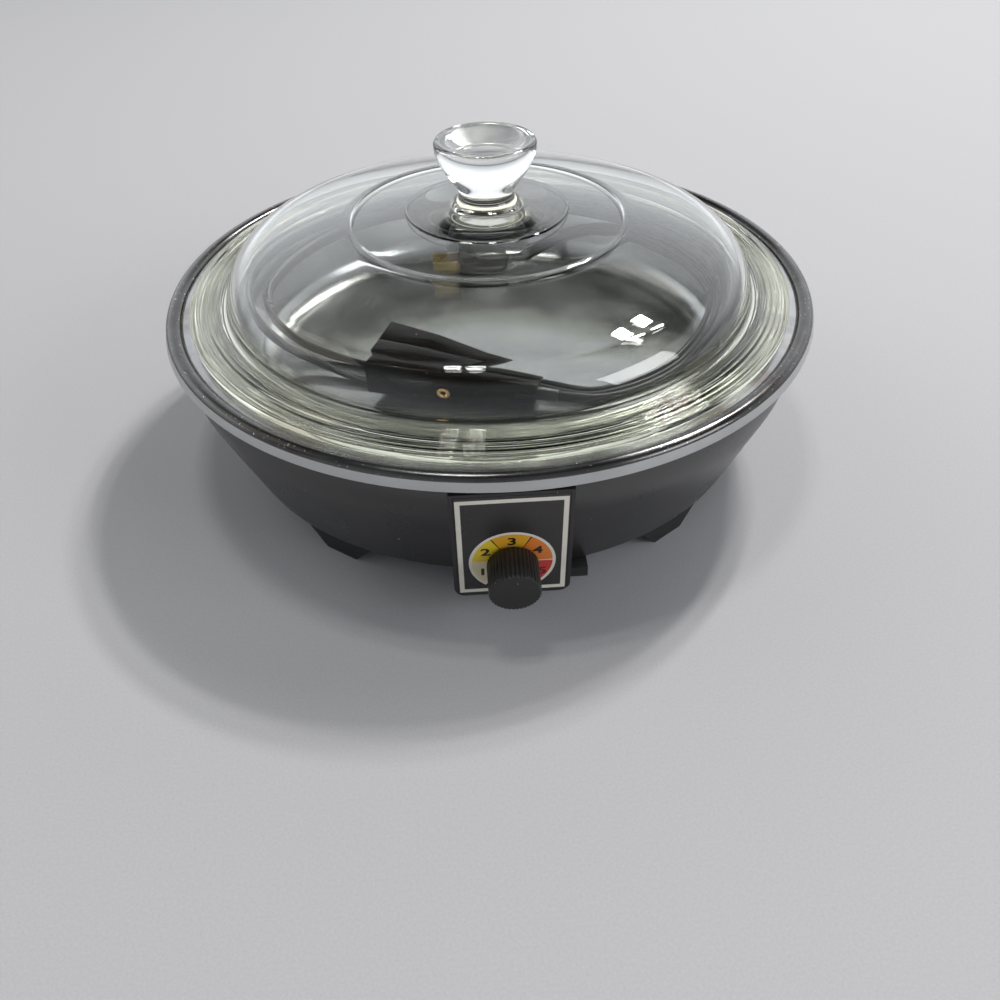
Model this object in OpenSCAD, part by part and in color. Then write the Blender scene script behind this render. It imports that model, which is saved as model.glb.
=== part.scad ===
// Round electric skillet: a dark-lined pan on a black bowl-shaped base, a lift-off pressed-glass
// lid with its own glass knob, a heat control on the front, an inlet at the back, and the
// detachable cord set put away in the pan. Millimetres, +Z up, the table at z = 0, the front at -Y.

/* [Pan] */
// Radius of the rim's lower edge, the widest circle
rim_r = 165; // [162:0.5:170]
// Width of the rim, from its lower edge in to the pan's wall
rim_w = 24.5; // [23:0.5:25.5]
// How far the wall leans out from upright, degrees
wall_lean = 10; // [6:1:12]
// Inside radius between wall and floor
corner_r = 16; // [12:1:20]
// Depth from the ledge to the floor
pan_depth = 49; // [46:0.5:51]
// Thickness of the pan
pan_t = 2.5; // [2:0.1:3]
// Width of the dark rolled bead outside the ledge
bead_w = 7.8; // [6.5:0.1:9]
// Height of the bead above the ledge
bead_h = 2.8; // [2:0.1:3.5]
// How far the satin skirt hangs below the ledge
skirt_drop = 4; // [3.6:0.1:5]
// How far the skirt leans in towards the bead
skirt_lean = 1.2; // [0.6:0.1:2]
// Thickness of the skirt
skirt_t = 1.5; // [1.2:0.1:2]

/* [Base] */
// Height of the base's lower edge above the table
stand_h = 12; // [10:0.5:16]
// Height of the base, from its lower edge to its top edge
base_h = 69.5; // [67:0.5:74]
// How far the base's top edge lies inside the rim
base_inset = 5.5; // [5:0.5:8]
// How far the base draws in from its top to its lower edge
base_draw = 19.5; // [17.5:0.5:21.5]
// Height, over the lower edge, at which the slope would meet the upright top
shoulder_h = 52; // [48:1:56]
// Radius that rounds the slope into the upright top
shoulder_r = 60; // [40:5:80]
// Thickness of the base's wall
base_t = 1.4; // [1.2:0.1:1.8]
// Width of the base's turned-in bottom
base_turn_in = 24; // [22:1:26]
// How far the bottom cover laps under it
cover_lap = 8; // [5:0.5:8.5]
// Thickness of the bottom cover
cover_t = 1.2; // [0.8:0.1:1.6]
// Distance of the support posts from the edge of the base's hole
post_inset = 12; // [10:1:14]
// Radius of a support post
post_r = 4.5; // [4:0.1:5]
// Radius of the screws in the posts and the feet
screw_r = 1.9; // [1.5:0.1:2.2]
// Radius of the screw heads
screw_head_r = 3.6; // [3.2:0.1:4]
// Thickness of the screw heads
screw_head_t = 2; // [1.5:0.1:2.5]

/* [Feet] */
// Angle of each foot from the front or back, degrees
foot_angle = 36; // [33:1:40]
// How far a foot's outer face lies inside the base's lower edge
foot_inset = 3; // [2.5:0.5:4]
// Thickness of a foot from its inner to its outer face
foot_depth = 12; // [11:0.5:12]
// Width of a foot at its top
foot_top_w = 40; // [34:1:44]
// Width of a foot where it stands
foot_pad_w = 18; // [14:1:24]

/* [Lid] */
// How far the glass edge lies inside the rim's lower edge
lid_inset = 13; // [12:0.5:15]
// Width of the flange, from the glass edge in to the dome
flange_w = 19; // [18:0.5:21]
// Height of the dome's middle above the pan's ledge
dome_h = 42; // [38:0.5:46]
// Radius of the crown's shallow sphere
crown_r = 430; // [380:10:520]
// Radius of the shoulder between the crown and the flange
shoulder_glass_r = 22; // [18:1:26]
// Thickness of the glass dome
glass_t = 4; // [3.2:0.1:4.6]
// Thickness of the flange
flange_t = 3.8; // [3:0.1:4.4]
// Number of fine rings pressed into the flange
flange_rings = 5; // [3:1:7]
// Height of those rings
flange_ring_h = 0.7; // [0.3:0.1:0.9]
// How far the ring under the lid reaches below the pan's ledge
locator_drop = 2.2; // [1.5:0.1:3]
// Gap between the flange and the ledge
lid_gap = 0.2; // [0.1:0.05:0.3]
// Radius of the raised disc round the knob
disc_r = 40.3; // [36:0.1:44]
// Height of that disc
disc_h = 0.7; // [0.4:0.1:1]
// Radius of the fine mould line round the crown
mould_line_r = 68; // [60:1:76]
// Height of the glass knob above the dome's middle
grip_h = 32; // [28:0.5:36]
// Radius of the knob's cup
grip_r = 24.6; // [22:0.1:26]
// Radius of the knob's waist
grip_waist_r = 13.3; // [12:0.1:15]
// Radius of the knob's foot on the disc
grip_foot_r = 19.8; // [18:0.1:22]

/* [Heat control] */
// How far the dial's middle lies inside the rim's lower edge
dial_inset = 6.8; // [5.5:0.1:8]
// Height of the dial's middle above the table
dial_z = 35; // [34:0.5:36]
// How far the panel leans out at its top, degrees
panel_tilt = 4.4; // [3.5:0.1:5]
// Width of the panel
panel_w = 51.2; // [50:0.2:53]
// Height of the panel above the dial's middle
panel_up = 42; // [40:0.5:42.5]
// Height of the panel below the dial's middle
panel_down = 21.5; // [20:0.5:22]
// Thickness of the panel
panel_t = 3; // [2.5:0.1:3]
// Margin of black panel round the printed plate
plate_margin = 1.8; // [1.2:0.1:2.4]
// Thickness of the printed plate
plate_t = 0.4; // [0.3:0.05:0.5]
// Width of the box behind the panel
neck_w = 41; // [39:0.5:42]
// Depth of that box behind the panel's face
neck_depth = 19; // [18:0.5:19.5]
// Thickness of the box's walls
neck_wall = 2; // [1.6:0.1:2.4]
// Radius of the control knob
knob_r = 11.2; // [10.6:0.1:12]
// Length of the control knob
knob_len = 16.6; // [15:0.1:18]
// Number of flutes round the knob
flutes = 38; // [32:1:44]
// Depth of a flute
flute_depth = 0.45; // [0.3:0.05:0.6]
// Gap between the knob and the plate
knob_gap = 0.9; // [0.6:0.1:1.2]
// Radius of the control shaft
shaft_r = 3.1; // [2.9:0.05:3.2]
// Radial clearance round the shaft in its bushing
shaft_gap = 0.1; // [0.08:0.01:0.15]
// Radius of the bushing's barrel
bushing_r = 4.7; // [4.4:0.1:5]
// Width across the bushing nut's flats
nut_af = 13.6; // [12.5:0.1:14]

/* [Element] */
// Distance of the heating ring from the edge of the base's hole
element_inset = 30; // [28:1:32]
// Radius of the sheath
sheath_r = 4; // [3.6:0.1:4.2]
// Distance of each of its two legs from the middle line
leg_x = 14; // [12:1:16]
// Radius of the bend from the ring into a leg
leg_bend_r = 14; // [12:1:16]
// Number of clamps on the ring
clamps = 3; // [2:1:4]
// Radius of the lead wires
lead_r = 1.6; // [1.2:0.1:1.8]

/* [Inlet] */
// Height of the inlet's middle above the table
inlet_z = 34; // [33.5:0.5:35]
// Width of the shroud
inlet_w = 54; // [50:1:56]
// Height of the shroud
inlet_h = 26; // [25:0.5:27]
// Wall of the shroud
inlet_wall = 2; // [1.6:0.1:2.4]
// How far the shroud's inner end lies inside the base's lower edge
inlet_seat = 3; // [2:0.1:3.5]
// How far its open end lies inside the base's top edge
inlet_inset = 0.5; // [-1.5:0.5:2.5]
// Radius of an inlet pin
pin_r = 2.38; // [2.2:0.01:2.5]
// Distance between the two pins
pin_pitch = 17.5; // [16.5:0.1:18.5]

/* [Cord set] */
// Length of the appliance connector
conn_len = 86; // [80:1:90]
// Width of the connector at its socket end
conn_w = 40; // [38:0.5:42]
// Height of the connector at its socket end
conn_h = 23; // [22:0.5:25]
// Width of the connector at its cord end
conn_tail_w = 19; // [17:0.5:20]
// Height of the connector at its cord end
conn_tail_h = 18; // [16:0.5:19]
// Width of the flat cord
cord_w = 7.4; // [7:0.1:7.6]
// Thickness of the flat cord
cord_t = 3.8; // [3.4:0.1:4]
// Length of the wall plug's body
plug_len = 30; // [27:1:33]
// Width of the wall plug's body
plug_w = 25; // [23:0.5:27]
// Height of the wall plug's body
plug_h = 16; // [14:0.5:18]

/* [Hidden] */
$fn = 96;

// Radii that follow from the rim's, each by its own margin
wall_top_r = rim_r - rim_w;
base_top_r = rim_r - base_inset;
base_bottom_r = base_top_r - base_draw;
base_hole_r = base_bottom_r - base_turn_in;
cover_r = base_hole_r + cover_lap;
post_place_r = base_hole_r - post_inset;
foot_out_r = base_bottom_r - foot_inset;
lid_r = rim_r - lid_inset;
dome_r = lid_r - flange_w;
dial_y = rim_r - dial_inset;
element_r = base_hole_r - element_inset;
inlet_front = base_bottom_r - inlet_seat;
inlet_back = base_top_r - inlet_inset;

// Heights that stack up from the table
base_top_z = stand_h + base_h;
ledge_z = base_top_z + pan_t;
rim_z = ledge_z - skirt_drop;
floor_z = ledge_z - pan_depth;
under_z = floor_z - pan_t;

// Places on the pan
corner_z = floor_z + corner_r;
floor_r = wall_top_r - corner_r * cos(wall_lean)
    - (ledge_z - corner_z + corner_r * sin(wall_lean)) * tan(wall_lean);
bead_in_r = rim_r - skirt_lean - bead_w;

// The control knob reaches this far in front of the pan's axis; the origin lies midway
// between there and the rim's back
knob_face = knob_gap + knob_len;
front_reach = dial_y + knob_face * cos(panel_tilt) + knob_r * sin(panel_tilt);
pan_y = (front_reach - rim_r) / 2;

// Where the connector lies in the pan: the middle of its socket end, its turn about Z, and
// how far the cord under its socket end lifts that end
hollow = wall_top_r / 140.5;
conn_x = -60 * hollow;
conn_y = -19 * hollow;
conn_turn = -19;
conn_lift = 6;
conn_pitch = atan((conn_lift - 0.3) / conn_len);

// Where the wall plug lies: the end where its cord comes in, and its turn about Z
plug_x = 16 * hollow;
plug_y = 106.5 * hollow;
plug_turn = 183;
relief_len = 22;

// The cord's route from the connector to the plug: x, y and z of its middle, then its roll,
// where 90 stands it on its narrow edge and 0 lays it flat. It makes two full turns and a
// quarter, one below the other on the pan's wall, and crosses behind the connector twice.
CORD_ROUTE = [
    [31.8, -50.6, 43.6, 90], [39.3, -53.2, 43.1, 90], [52, -54.3, 41.3, 90],
    [69, -49.5, 39.6, 90], [88, -40, 39.6, 90],
    [104, -28, 41.5, 90], [115, -18.5, 47.5, 90], [124, -11, 54.5, 90], [131, -2, 63, 90],
    [134, 12, 71, 90], [131.5, 30, 75, 90], [123, 55, 76.5, 90], [107, 81, 77, 90],
    [85, 104, 77, 90], [58, 121, 77, 90], [28, 131, 77, 90], [-4, 134, 77, 90],
    [-35, 129.5, 77, 90], [-64, 118, 77, 90], [-90, 99.5, 77, 90], [-111, 75.5, 77, 90],
    [-125, 49, 76.5, 90], [-131, 28, 74, 90], [-130, 14, 69.5, 90], [-125, 6, 62, 90],
    [-117.5, 2.5, 54, 90], [-107, 0, 47, 85], [-93, -5, 42, 70], [-79, -13, 38.7, 35],
    [-63, -18, 37.2, 0], [-47, -12.5, 37.2, 0], [-32, -5, 37.8, 20], [-24, -5.4, 38.4, 50],
    [-15, -8, 39, 90],
    [3, -19.5, 39, 90], [33, -40.5, 39, 90], [50, -48, 39, 90], [68, -44.3, 39, 90],
    [87, -35.3, 39, 90], [101.5, -23.8, 39.5, 90], [112, -13, 43, 90], [121, -3, 49, 90],
    [127.5, 9, 56, 90], [130.5, 24, 62, 90], [126.5, 41, 66.3, 90], [116.5, 64.5, 68.3, 90],
    [100, 88, 68.5, 90], [78.5, 107.5, 68.5, 90], [53, 122.3, 68.5, 90], [24, 131, 68.5, 90],
    [-7, 133, 68.5, 90], [-38, 127.7, 68.5, 90], [-66.5, 115.2, 68.3, 90], [-91.5, 96, 67.5, 90],
    [-111, 71.5, 65.5, 90], [-122, 49, 62, 90], [-124, 36, 58, 90], [-119.5, 26.5, 53.5, 90],
    [-112, 20, 48.5, 90], [-102.5, 16, 43.5, 85], [-90, 11.5, 40.3, 80], [-78, 7, 38.9, 60],
    [-63, 2.5, 38.3, 40], [-47, 4.5, 38.5, 45], [-30, 3.2, 39, 90], [-13, -2.8, 39, 90],
    [5, -14.5, 39, 90], [35, -35.5, 39, 90], [51, -43, 39, 90], [67, -39.6, 39, 90],
    [84.5, -31, 39, 90], [98, -20, 39, 90], [108, -9, 40.5, 90], [117, 2.5, 44.5, 90],
    [124, 15, 50, 90], [127.5, 30, 54.5, 90], [122.5, 49, 58, 90], [111, 71.5, 59.5, 90],
    [94.5, 93, 60, 90], [75, 109, 58.5, 90], [56, 115.5, 53, 90], [40, 112.5, 47.5, 60],
    [29, 108.3, 44, 20], [24, 106.9, 43.1, 0], [16.02, 106.5, 43.1, 0]
];
// The route as it lies in this pan
laid_route = [for (p = CORD_ROUTE)
    [p[0] * hollow, p[1] * hollow, floor_z + (p[2] - 35) * pan_depth / 49, p[3]]];

// ---- Shared shapes ----

// Points of an arc about c, from angle a to angle b
function arc(c, r, a, b, n = 10) =
    [for (i = [0:n]) c + r * [cos(a + (b - a) * i / n), sin(a + (b - a) * i / n)]];

// A rectangle about the origin with round corners
function round_rect(w, h, r, n = 6) = concat(
    arc([w / 2 - r, h / 2 - r], r, 0, 90, n), arc([r - w / 2, h / 2 - r], r, 90, 180, n),
    arc([r - w / 2, r - h / 2], r, 180, 270, n), arc([w / 2 - r, r - h / 2], r, 270, 360, n));

// A point on a smooth curve from b to c, with a and d beyond them
function between(a, b, c, d, t) =
    0.5 * (2 * b + (c - a) * t + (2 * a - 5 * b + 4 * c - d) * t * t
    + (3 * b - a - 3 * c + d) * t * t * t);

// The points of a route with each stretch split in n
function smooth(route, n) = let (last = len(route) - 1) concat(
    [for (i = [0:last - 1], k = [0:n - 1])
        between(route[max(i - 1, 0)], route[i], route[i + 1], route[min(i + 2, last)], k / n)],
    [route[last]]);

function unit(v) = v / norm(v);
function heading(p, i) = unit(p[min(i + 1, len(p) - 1)] - p[max(i - 1, 0)]);

// One ring of a flat or round tube: a stadium of w by t, rolled about the route's direction
function ring(c, dir, roll, w, t, sides) =
    let (side = unit(cross(dir, [0, 0, 1])), up = cross(side, dir),
        across = side * cos(roll) + up * sin(roll), thick = up * cos(roll) - side * sin(roll))
    [for (k = [0:sides - 1]) let (a = 360 * (k + 0.5) / sides)
        c + across * ((w - t) / 2 * sign(cos(a)) + t / 2 * cos(a)) + thick * (t / 2 * sin(a))];

// A tube along a route whose points are x, y, z and roll
module tube(route, w, t, sides) {
    middle = [for (p = route) [p[0], p[1], p[2]]];
    count = len(route);
    rings = [for (i = [0:count - 1])
        ring(middle[i], heading(middle, i), route[i][3], w, t, sides)];
    points = [for (r = rings, q = r) q];
    sides_faces = [for (i = [0:count - 2], k = [0:sides - 1], half = [0:1])
        let (a = i * sides + k, b = i * sides + (k + 1) % sides)
        half == 0 ? [a, b, b + sides] : [a, b + sides, a + sides]];
    ends = concat([[for (k = [sides - 1:-1:0]) k]],
        [[for (k = [0:sides - 1]) (count - 1) * sides + k]]);
    polyhedron(points, concat(sides_faces, ends), convexity = 20);
}

// The panel's own frame: origin at the dial's middle, +Y up the panel, +Z out of it
module at_dial() {
    translate([0, -dial_y, dial_z]) rotate([90 + panel_tilt, 0, 0]) children();
}

// The connector's own frame: +X from socket end to cord end, on its underside
module at_connector() {
    translate([conn_x, conn_y, floor_z + conn_lift]) rotate([0, 0, conn_turn])
        rotate([0, conn_pitch, 0]) children();
}

// The plug's own frame: +X from its cord end to its blades, on the pan's floor
module at_plug() {
    translate([plug_x, plug_y, floor_z + 0.1]) rotate([0, 0, plug_turn]) children();
}

module at_posts() {
    for (a = [30, 150, 210, 330]) rotate([0, 0, a]) translate([post_place_r, 0, 0]) children();
}

// ---- Pan and base ----

// Outline of the pan: inside, ledge, bead and skirt, then back along its underside
pan_outline = concat(
    [[0, floor_z]],
    arc([floor_r, corner_z], corner_r, -90, -wall_lean, 12),
    arc([wall_top_r + 1.2, ledge_z - 1.2], 1.2, 180 - wall_lean, 90, 4),
    [for (a = [0:15:165]) [bead_in_r + bead_w / 2 * (1 - cos(a)), ledge_z + bead_h * sin(a)]],
    [[rim_r - skirt_lean, ledge_z + 0.6], [rim_r, rim_z], [rim_r - skirt_t, rim_z],
     [rim_r - skirt_t - skirt_lean, base_top_z]],
    [[wall_top_r + pan_t / cos(wall_lean) - pan_t * tan(wall_lean), base_top_z]],
    arc([floor_r, corner_z], corner_r + pan_t, -wall_lean, -90, 12),
    [[0, under_z]]);

module cooking_pan() {
    color("#3a3c3e") rotate_extrude($fn = 180) polygon(pan_outline);
}

base_slope = atan((base_top_r - base_bottom_r) / shoulder_h);
shoulder_c = [base_top_r - shoulder_r, stand_h + shoulder_h + shoulder_r * tan(base_slope / 2)];
base_edge_r = 2;
base_outline = concat(
    [[base_hole_r, stand_h]],
    arc([base_bottom_r - base_edge_r, stand_h + base_edge_r], base_edge_r, -90, -base_slope, 4),
    arc(shoulder_c, shoulder_r, -base_slope, 0, 10),
    [[base_top_r, base_top_z], [base_top_r - base_t, base_top_z]],
    arc(shoulder_c, shoulder_r - base_t, 0, -base_slope, 10),
    [[base_bottom_r - base_t / cos(base_slope) + base_t * tan(base_slope), stand_h + base_t],
     [base_hole_r, stand_h + base_t]]);
window_gap = 0.5;
neck_low_z = dial_z - (panel_down - 2.5) * cos(panel_tilt);

module base_shell() {
    color("#161616") difference() {
        rotate_extrude($fn = 180) polygon(base_outline);
        // window for the control, open at the top
        translate([-neck_w / 2 - window_gap, -rim_r, neck_low_z - window_gap])
            cube([neck_w + 2 * window_gap, rim_r - base_hole_r - 8, base_h]);
        // window for the inlet
        translate([-inlet_w / 2 - window_gap, base_hole_r + 8, inlet_z - inlet_h / 2 - window_gap])
            cube([inlet_w + 2 * window_gap, rim_r - base_hole_r, inlet_h + 2 * window_gap]);
        at_feet() translate([foot_out_r - foot_depth / 2, 0, stand_h - 1])
            cylinder(r = screw_r + 0.2, h = base_t + 2, $fn = 24);
    }
}

module bottom_cover() {
    color("#8d8f91") translate([0, 0, stand_h - cover_t]) difference() {
        cylinder(r = cover_r, h = cover_t, $fn = 144);
        at_posts() translate([0, 0, -1]) cylinder(r = screw_r + 0.2, h = cover_t + 2, $fn = 24);
    }
}

post_tap_depth = 9;
module support_posts() {
    color("#b9bbbd") at_posts() translate([0, 0, stand_h]) difference() {
        cylinder(r = post_r, h = under_z - stand_h, $fn = 32);
        translate([0, 0, -1]) cylinder(r = screw_r, h = post_tap_depth + 1, $fn = 24);
    }
}

// A pan-head screw, head down, its seat at z = 0
module screw(shank, length) {
    translate([0, 0, -screw_head_t]) cylinder(r1 = screw_head_r - 0.8, r2 = screw_head_r,
        h = screw_head_t, $fn = 32);
    cylinder(r = shank, h = length, $fn = 24);
}

module cover_screws() {
    color("#9a9c9e") at_posts() translate([0, 0, stand_h - cover_t])
        screw(screw_r, cover_t + post_tap_depth - 1);
}

// ---- Feet ----

foot_turns = [foot_angle - 90, 90 - foot_angle, 90 + foot_angle, -90 - foot_angle];
foot_screw_seat = stand_h / 2;

module at_feet() {
    for (a = foot_turns) rotate([0, 0, a]) children();
}

// A wedge, wide under the base and narrow on the table, with a well for its screw
module foot(turn) {
    color("#101010") rotate([0, 0, turn]) difference() {
        translate([foot_out_r, 0, 0]) rotate([90, 0, -90]) linear_extrude(foot_depth)
            polygon([[-foot_pad_w / 2, 0], [foot_pad_w / 2, 0], [foot_top_w / 2, stand_h],
                [-foot_top_w / 2, stand_h]]);
        translate([foot_out_r - foot_depth / 2, 0, -1]) {
            cylinder(r = screw_r + 0.2, h = stand_h + 2, $fn = 24);
            cylinder(r = screw_head_r + 0.4, h = foot_screw_seat + 1, $fn = 32);
        }
    }
}

module foot_screws() {
    color("#9a9c9e") at_feet() translate([foot_out_r - foot_depth / 2, 0, foot_screw_seat])
        screw(screw_r, stand_h - foot_screw_seat + base_t + 2);
}

// ---- Lid ----

seat_z = ledge_z + lid_gap;
dome_top = ledge_z + dome_h;
crown_z = dome_top - crown_r;
// The shoulder's centre keeps its circle tangent to the crown's
shoulder_x = dome_r - shoulder_glass_r;
shoulder_turn = acos(shoulder_x / (crown_r - shoulder_glass_r));
shoulder_z = crown_z + (crown_r - shoulder_glass_r) * sin(shoulder_turn);
flange_z = seat_z + flange_t;
ring_in_r = dome_r + 2.5;
ring_out_r = lid_r - 2.5;
ring_pitch = (ring_out_r - ring_in_r) / flange_rings;
function crown_at(r) = crown_z + sqrt(crown_r * crown_r - r * r);

// The knob's outline from the disc up to the middle of its top
disc_z = crown_at(disc_r) + disc_h;
grip_top = dome_top + grip_h;
grip_lip_r = 2.4;
grip_waist_z = dome_top + grip_h * 0.22;
grip_outline = concat(
    [[disc_r, crown_at(disc_r)], [disc_r - 0.4, disc_z]],
    [[grip_foot_r + 1.5, dome_top + 0.2]],
    [for (t = [0:0.125:1])
        [grip_foot_r - (grip_foot_r - grip_waist_r) * sin(90 * t),
         dome_top + 0.6 + (grip_waist_z - dome_top - 0.6) * (1 - cos(90 * t))]],
    [for (t = [0.1:0.1:1])
        [grip_waist_r + (grip_r - grip_waist_r) * pow(sin(90 * t), 1.25),
         grip_waist_z + (grip_top - grip_lip_r - grip_waist_z) * t]],
    arc([grip_r - grip_lip_r, grip_top - grip_lip_r], grip_lip_r, 15, 90, 5),
    [[grip_r - 5, grip_top - 0.7], [0, grip_top - 1.3]]);

lid_outline = concat(
    [[lid_r, seat_z + 0.8], [lid_r, flange_z - 0.8], [lid_r - 0.8, flange_z]],
    [for (i = [0:flange_rings * 4])
        [ring_out_r - i * ring_pitch / 4, flange_z + flange_ring_h * pow(sin(i * 45), 2)]],
    [[dome_r + 0.7, flange_z + 1.1]],
    arc([shoulder_x, shoulder_z], shoulder_glass_r, asin(max(0.02, (flange_z + 2.4 - shoulder_z)
        / shoulder_glass_r)), shoulder_turn, 14),
    [for (f = [0.86, 0.74]) let (r = mould_line_r + (shoulder_x - mould_line_r) * f)
        [r, crown_at(r)]],
    [[mould_line_r + 0.5, crown_at(mould_line_r + 0.5)], [mould_line_r, crown_at(mould_line_r) + 0.3],
     [mould_line_r - 0.5, crown_at(mould_line_r - 0.5)]],
    grip_outline,
    [[0, dome_top - glass_t]],
    [for (f = [0.25, 0.5, 0.75, 1]) let (r = shoulder_x * f)
        [r, crown_z + sqrt(pow(crown_r - glass_t, 2) - r * r)]],
    arc([shoulder_x, shoulder_z], shoulder_glass_r - glass_t, shoulder_turn - 2, 0, 10),
    [[dome_r + 0.6, seat_z], [dome_r + 1.4, seat_z - locator_drop],
     [wall_top_r - 2.4, seat_z - locator_drop], [wall_top_r - 1.6, seat_z],
     [lid_r - 0.8, seat_z]]);

module glass_lid() {
    color([0.8, 0.88, 0.88, 0.45]) rotate_extrude($fn = 180) polygon(lid_outline);
}

// ---- Heat control ----

plate_w = panel_w - 2 * plate_margin;
plate_h = panel_up + panel_down - 2 * plate_margin;
plate_mid = (panel_up - panel_down) / 2;
neck_down = panel_down - 2.5;
neck_up = panel_up - 2;
// Above this height the box's back slopes forward, clear of the pan's wall
neck_bend = 15.5;
neck_side = [[-neck_down, -panel_t], [-neck_down, -neck_depth], [neck_bend, -neck_depth],
    [neck_up, -neck_depth / 2], [neck_up, -panel_t]];
fit_gap = 0.1;
panel_corner_r = 5;
// The lip under the base: its lower face, its front and back, and its right end
lip_low = 6.5;
lip_front = base_bottom_r + 2;
lip_depth = 11;
lip_right = 36;

module control_housing() {
    color("#141414") difference() {
        union() {
            at_dial() {
                // panel, square at the top and rounded at its lower corners
                translate([0, 0, -panel_t]) linear_extrude(panel_t) polygon(concat(
                    [[panel_w / 2, panel_up], [-panel_w / 2, panel_up]],
                    arc([panel_corner_r - panel_w / 2, panel_corner_r - panel_down],
                        panel_corner_r, 180, 270, 6),
                    arc([panel_w / 2 - panel_corner_r, panel_corner_r - panel_down],
                        panel_corner_r, 270, 360, 6)));
                // box behind it, open at the back
                difference() {
                    rotate([90, 0, 90]) translate([0, 0, -neck_w / 2]) linear_extrude(neck_w)
                        polygon(neck_side);
                    translate([neck_wall - neck_w / 2, neck_wall - neck_down, -neck_depth - 1])
                        cube([neck_w - 2 * neck_wall, neck_down + neck_up - 2 * neck_wall,
                            neck_depth + 1 - panel_t]);
                }
            }
            // web down from the box, and the lip that hooks under the base
            translate([-neck_w / 2, -base_bottom_r - 7, lip_low])
                cube([neck_w, 6.2, neck_low_z + 1.5 - lip_low]);
            translate([-neck_w / 2, -lip_front, lip_low])
                cube([neck_w / 2 + lip_right, lip_depth, stand_h - lip_low]);
        }
        at_dial() {
            translate([-plate_w / 2, plate_mid - plate_h / 2, -plate_t])
                cube([plate_w, plate_h, 1]);
            translate([0, 0, -panel_t - 1]) cylinder(r = bushing_r + fit_gap, h = panel_t + 2);
        }
    }
}

module dial_plate() {
    color("#1b1b1b") at_dial() difference() {
        translate([0, plate_mid, -plate_t]) linear_extrude(plate_t)
            polygon(round_rect(plate_w - 2 * fit_gap, plate_h - 2 * fit_gap, 0.6, 3));
        translate([0, 0, -1]) cylinder(r = bushing_r + fit_gap, h = 2);
    }
}

// Outline of the fluted barrel: rounded ribs between shallow grooves
flute_outline = [for (i = [0:flutes - 1], k = [0:3]) let (a = (i + k / 4) * 360 / flutes)
    (knob_r - flute_depth * [0, 0.35, 1, 0.35][k]) * [cos(a), sin(a)]];
nut_well_r = nut_af / 2 / cos(30) + 0.9;
nut_well_depth = 5;
shaft_flat = shaft_r * 0.72;
shaft_front = knob_face - 3;

module control_knob() {
    color("#121212") at_dial() translate([0, 0, knob_gap]) difference() {
        intersection() {
            translate([0, 0, -1]) linear_extrude(knob_len + 2) polygon(flute_outline);
            rotate_extrude() polygon([[0, 0], [knob_r - 0.4, 0], [knob_r + 1.2, 2],
                [knob_r + 1.2, knob_len - 2.1], [knob_r - 0.9, knob_len], [0, knob_len]]);
        }
        translate([0, 0, -1]) cylinder(r = nut_well_r, h = nut_well_depth + 1, $fn = 48);
        difference() {
            cylinder(r = shaft_r + 0.05, h = shaft_front - knob_gap + 0.4, $fn = 48);
            translate([-shaft_r - 1, shaft_flat + 0.7, -1]) cube([2 * shaft_r + 2, 4, 20]);
        }
    }
}

// A bowed strip between the shaft's flat and the knob
spring_w = 2.2;
module knob_spring() {
    color("#c9c9c4") at_dial() translate([-spring_w / 2, shaft_flat + 0.05,
            knob_gap + nut_well_depth + 0.6])
        cube([spring_w, 0.5, shaft_front - knob_gap - nut_well_depth - 1.2]);
}

bushing_flange_t = 1.8;
thermo_plate_t = 1.2;
thermo_body_t = 7;
thermo_front = -panel_t - thermo_plate_t - bushing_flange_t;
thermo_back = thermo_front - thermo_body_t;
thermo_half = 10;
blade_t = 0.6;
blade_gap = 2;

module control_shaft() {
    color("#c2b27a") at_dial() difference() {
        translate([0, 0, thermo_back + 0.4]) cylinder(r = shaft_r, h = shaft_front - thermo_back - 0.4,
            $fn = 48);
        translate([-shaft_r - 1, shaft_flat, knob_gap + nut_well_depth - 0.3])
            cube([2 * shaft_r + 2, 4, 20]);
    }
}

module thermostat_plate() {
    color("#a9abad") at_dial() difference() {
        translate([0, 0, -panel_t - thermo_plate_t]) linear_extrude(thermo_plate_t)
            polygon(round_rect(30, 26, 3));
        translate([0, 0, -panel_t - 3]) cylinder(r = bushing_r + fit_gap, h = 6, $fn = 48);
    }
}

module thermostat_bushing() {
    color("#b08d45") at_dial() difference() {
        union() {
            translate([0, 0, thermo_front]) cylinder(r = bushing_r + 2.3, h = bushing_flange_t, $fn = 48);
            translate([0, 0, thermo_front]) cylinder(r = bushing_r, h = 4.2 - thermo_front, $fn = 48);
        }
        translate([0, 0, thermo_front - 1]) cylinder(r = shaft_r + shaft_gap, h = 20, $fn = 48);
    }
}

module bushing_nut() {
    color("#b9babb") at_dial() difference() {
        cylinder(r = nut_af / 2 / cos(30), h = 2.6, $fn = 6);
        translate([0, 0, -1]) cylinder(r = bushing_r + 0.05, h = 5, $fn = 48);
    }
}

module thermostat_body() {
    color("#d9d2c0") at_dial() translate([0, 0, thermo_back]) difference() {
        linear_extrude(thermo_body_t) polygon(round_rect(2 * thermo_half, 2 * thermo_half, 2));
        translate([0, 0, -1]) cylinder(r = shaft_r + 0.5, h = thermo_body_t + 2, $fn = 48);
    }
}

// The two blades lie one behind the other, joined by a spacer at one end and the contacts at
// the other, and each reaches past the other on the side where its lead is welded
blade_short = 11;
blade_long = 16.5;
blade_w = 6;
contact_r = 1.8;
module blade(low, high) {
    translate([low, -blade_w / 2, 0]) cube([high - low, blade_w, blade_t]);
}

module bimetal_blade() {
    color("#a89a78") at_dial() translate([0, 0, thermo_back - blade_t])
        blade(-blade_short, blade_long);
}

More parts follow.
